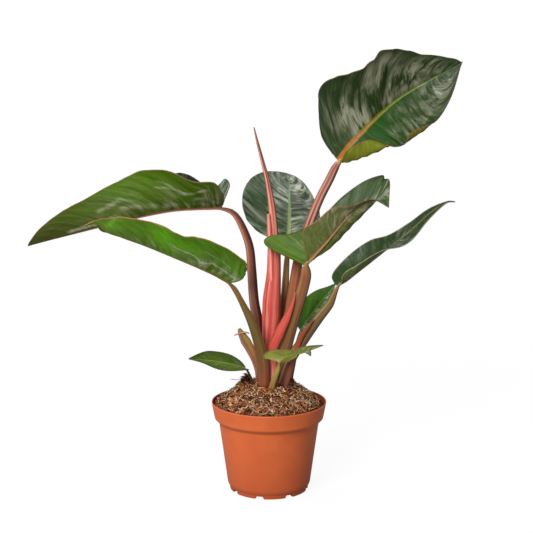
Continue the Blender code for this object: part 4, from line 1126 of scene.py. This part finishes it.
grid_j = heart_grid([(-21, -15, 119), (-34, -23, 125), (-52, -34, 131), (-72, -43, 135)], half_width=(14, 14),
    faces=[(-5, 70), (-25, 60), (-5, 60)], fold=([20, 5, 20], [10, 20, 35]), curl=([0, -20, 5], [0, -10, 20]),
    lobe=(0.07, 0.07), widest=0.38, fullness=0.89)
grown_leaf(
    "j", grid_j, veins=(9, 0.16, 0.12, 3, 0.2, 7.1), margin=(74, 60, 34), rib=0.8,
    upper=dict(deep=(50, 76, 2), pale_green_and_glow=(92, 120, 6), pale_green_and_glow_along={0: 1, 0.6: 0.9, 1: 0.2}, pale_green_and_glow_across={0: 0.3,
        0.45: 0.9, 0.55: 0.6, 1: 0.2}, rib={0: (140, 152, 70), 1: (120, 136, 60)}, rib_width=1.5,
        tint_and_sheen_along={0: 0.3, 1: 0.2}, edge=(64, 54, 20), gloss=0.16),
    under=dict(deep=(74, 92, 36), pale_green_and_glow=(96, 116, 48), pale_green_and_glow_along=0.6, pale_green_and_glow_across=0.6, rib={0: (120, 120, 60),
        1: (110, 120, 60)}, rib_width=0.9),
    stations=[(-13, -11, 100, 1.4, 1.3), (-17, -13, 110, 1.2, 1.1), (-20, -14.4, 116.6, 0.9, 0.8)],
    skin=dict(along={0: (76, 44, 28), 0.3: (74, 50, 26), 0.5: (86, 90, 44), 1: (110, 124, 60)}, shade=(52, 34, 24),
        side=0, width=0.16, streak=(120, 96, 60)))


# ---------------------------------------------------------------- spear and sheaths
# The next leaf, still rolled to a point and coral red, in the red sheath that wraps its foot.
# Smaller sheaths of older leaves stand round it, and one dry stub is left of a fallen leaf.

# On the spear and its wraps, the darker side is painted shade, deepest in a dark line at the spear's right edge; the
# pale lines are painted highlights along their folds.
leaf_stalk("spear", [(1, 6, 100, 3.4, 2.6), (2, 6, 141, 3.6, 3), (6, 5, 198, 3.8, 3.2), (5, 5, 235, 3.9, 3.3),
    (3, 4, 263, 3.2, 2.8), (-1.2, 2, 289, 2.3, 2), (-5.6, 1, 307, 1.7, 1.5), (-10.3, 0, 325, 1.2, 1.1),
    (-13.6, -1, 339, 0.5, 0.5)],
    dict(along={0: (196, 76, 66), 0.45: (216, 96, 82), 0.56: (222, 134, 116), 0.68: (206, 122, 102),
        0.78: (136, 74, 56), 0.88: (92, 52, 38), 1: (70, 46, 34)}, shade=(140, 58, 40), side=0, width=0.14,
        streak=(240, 178, 158), lines=[(0.66, (236, 170, 152), 0.04, 0.8), (0.76, (150, 62, 46), 0.022, 0.85),
        (0.84, (226, 150, 132), 0.03, 0.7), (0.93, (104, 44, 34), 0.06, 0.8), (0.53, (150, 66, 50), 0.04, 0.7)]),
    "spear_leaf", channel=0.2)
leaf_stalk("spear_wrap", [(1, 6, 100, 5.2, 4.2), (0.6, 6, 138, 6.6, 4.6), (2, 6, 162, 8.4, 4.8),
    (2.6, 5, 180, 8.2, 4.7), (4.4, 5, 205, 6.4, 4.7), (4.8, 5, 238, 5.6, 4.5)],
    dict(along={0: (150, 58, 46), 0.2: (184, 72, 60), 0.4: (200, 78, 68), 0.75: (208, 88, 76), 1: (206, 100, 86)},
        shade=(140, 52, 34), side=0.02, width=0.17, streak=(226, 130, 114),
        lines=[(0.63, (150, 54, 42), 0.018, 0.9), (0.67, (230, 136, 120), 0.03, 0.65),
        (0.74, (188, 64, 56), 0.03, 0.7), (0.81, (228, 124, 110), 0.025, 0.6), (0.88, (176, 84, 50), 0.02, 0.8),
        (0.54, (230, 120, 106), 0.03, 0.6)]),
    "spear_sheath", channel=0.08)
leaf_stalk("spear_wrap_tip", [(3, 6, 172, 2, 1.6), (2.4, 4, 188, 2.8, 2.2), (2, 2.4, 204, 2.9, 2.4),
    (1.6, 1.4, 219, 2.6, 2.3), (1, 1, 233, 2.3, 2), (0.2, 1, 248, 2, 1.4), (-0.4, 1, 260, 1.6, 0.7)],
    dict(along={0: (216, 96, 86), 0.5: (222, 112, 100), 0.9: (214, 120, 104), 1: (186, 110, 84)},
        shade=(150, 62, 46), side=0, width=0.12, streak=(240, 160, 144), lines=[(0.72, (240, 170, 152), 0.05, 0.7),
        (0.84, (170, 70, 56), 0.03, 0.7)]),
    "spear_sheath")
# The paler pink band near the foot of this wrap, about 0.12 along, is partly its own pink and partly a painted
# highlight.
leaf_stalk("inner_wrap", [(2, -8, 98, 6.4, 4), (2, -8.5, 110, 6.6, 3.6), (2, -8, 122, 5.4, 2.4),
    (3, -7.5, 135, 4.4, 1.6), (8.5, -8, 149, 4.6, 1.4), (16, -9, 165, 3.4, 1.2), (21.4, -10, 179, 1.8, 0.9),
    (24, -11, 189, 0.5, 0.4)],
    dict(along={0: (140, 66, 48), 0.12: (206, 118, 104), 0.28: (196, 84, 74), 0.4: (206, 76, 64),
        0.7: (214, 82, 68), 1: (196, 86, 66)}, shade=(150, 60, 44), side=0.55, width=0.1, streak=(240, 140, 122)),
    "inner_sheath")
leaf_stalk("red_wrap", [(15, -14.5, 100, 2.2, 1), (22, -16, 126, 2.6, 1), (28, -17.2, 146, 2.4, 1),
    (35, -19, 158, 1.6, 0.8), (41, -20, 166, 0.4, 0.3)],
    dict(along={0: (96, 50, 38), 0.35: (120, 60, 40), 0.5: (152, 70, 36), 0.9: (140, 66, 36), 1: (104, 40, 34)},
        shade=(100, 50, 30), side=0, width=0.14, streak=(200, 110, 66)),
    "red_sheath")
# The stub's side tone is a paler pink-brown down its left side.
leaf_stalk("stub", [(-9, -2, 100, 2.6, 2.2), (-10.5, -3, 114, 2.8, 2.2), (-13, -4, 124, 3.4, 2.2),
    (-17, -5, 134, 4.2, 2.2), (-21.5, -6, 142.5, 4.6, 2), (-25.5, -7, 150, 3.2, 1.6), (-27.6, -7, 154.5, 1.4, 1.1)],
    dict(along={0: (150, 84, 58), 0.5: (158, 100, 58), 0.8: (150, 118, 58), 1: (118, 108, 56)},
        shade=(168, 104, 88), side=0.52, width=0.2, streak=(200, 142, 104), lines=[(0.7, (104, 88, 40), 0.05, 0.7)],
        rough=0.6),
    "dry_stub")
leaf_stalk("stub_flap", [(-32, -7.5, 148.2, 0.4, 0.5), (-29, -8, 149.6, 0.6, 1), (-25, -8.4, 151, 0.7, 1.4),
    (-21.5, -8.8, 151.4, 0.7, 1.6), (-18, -9, 150.4, 0.5, 1.2)],
    dict(along={0: (96, 44, 40), 0.25: (190, 104, 90), 0.7: (206, 130, 106), 1: (150, 90, 64)}, shade=(140, 74, 60),
        side=0.5, width=0.12, streak=(226, 160, 136), rough=0.6),
    "dry_stub")
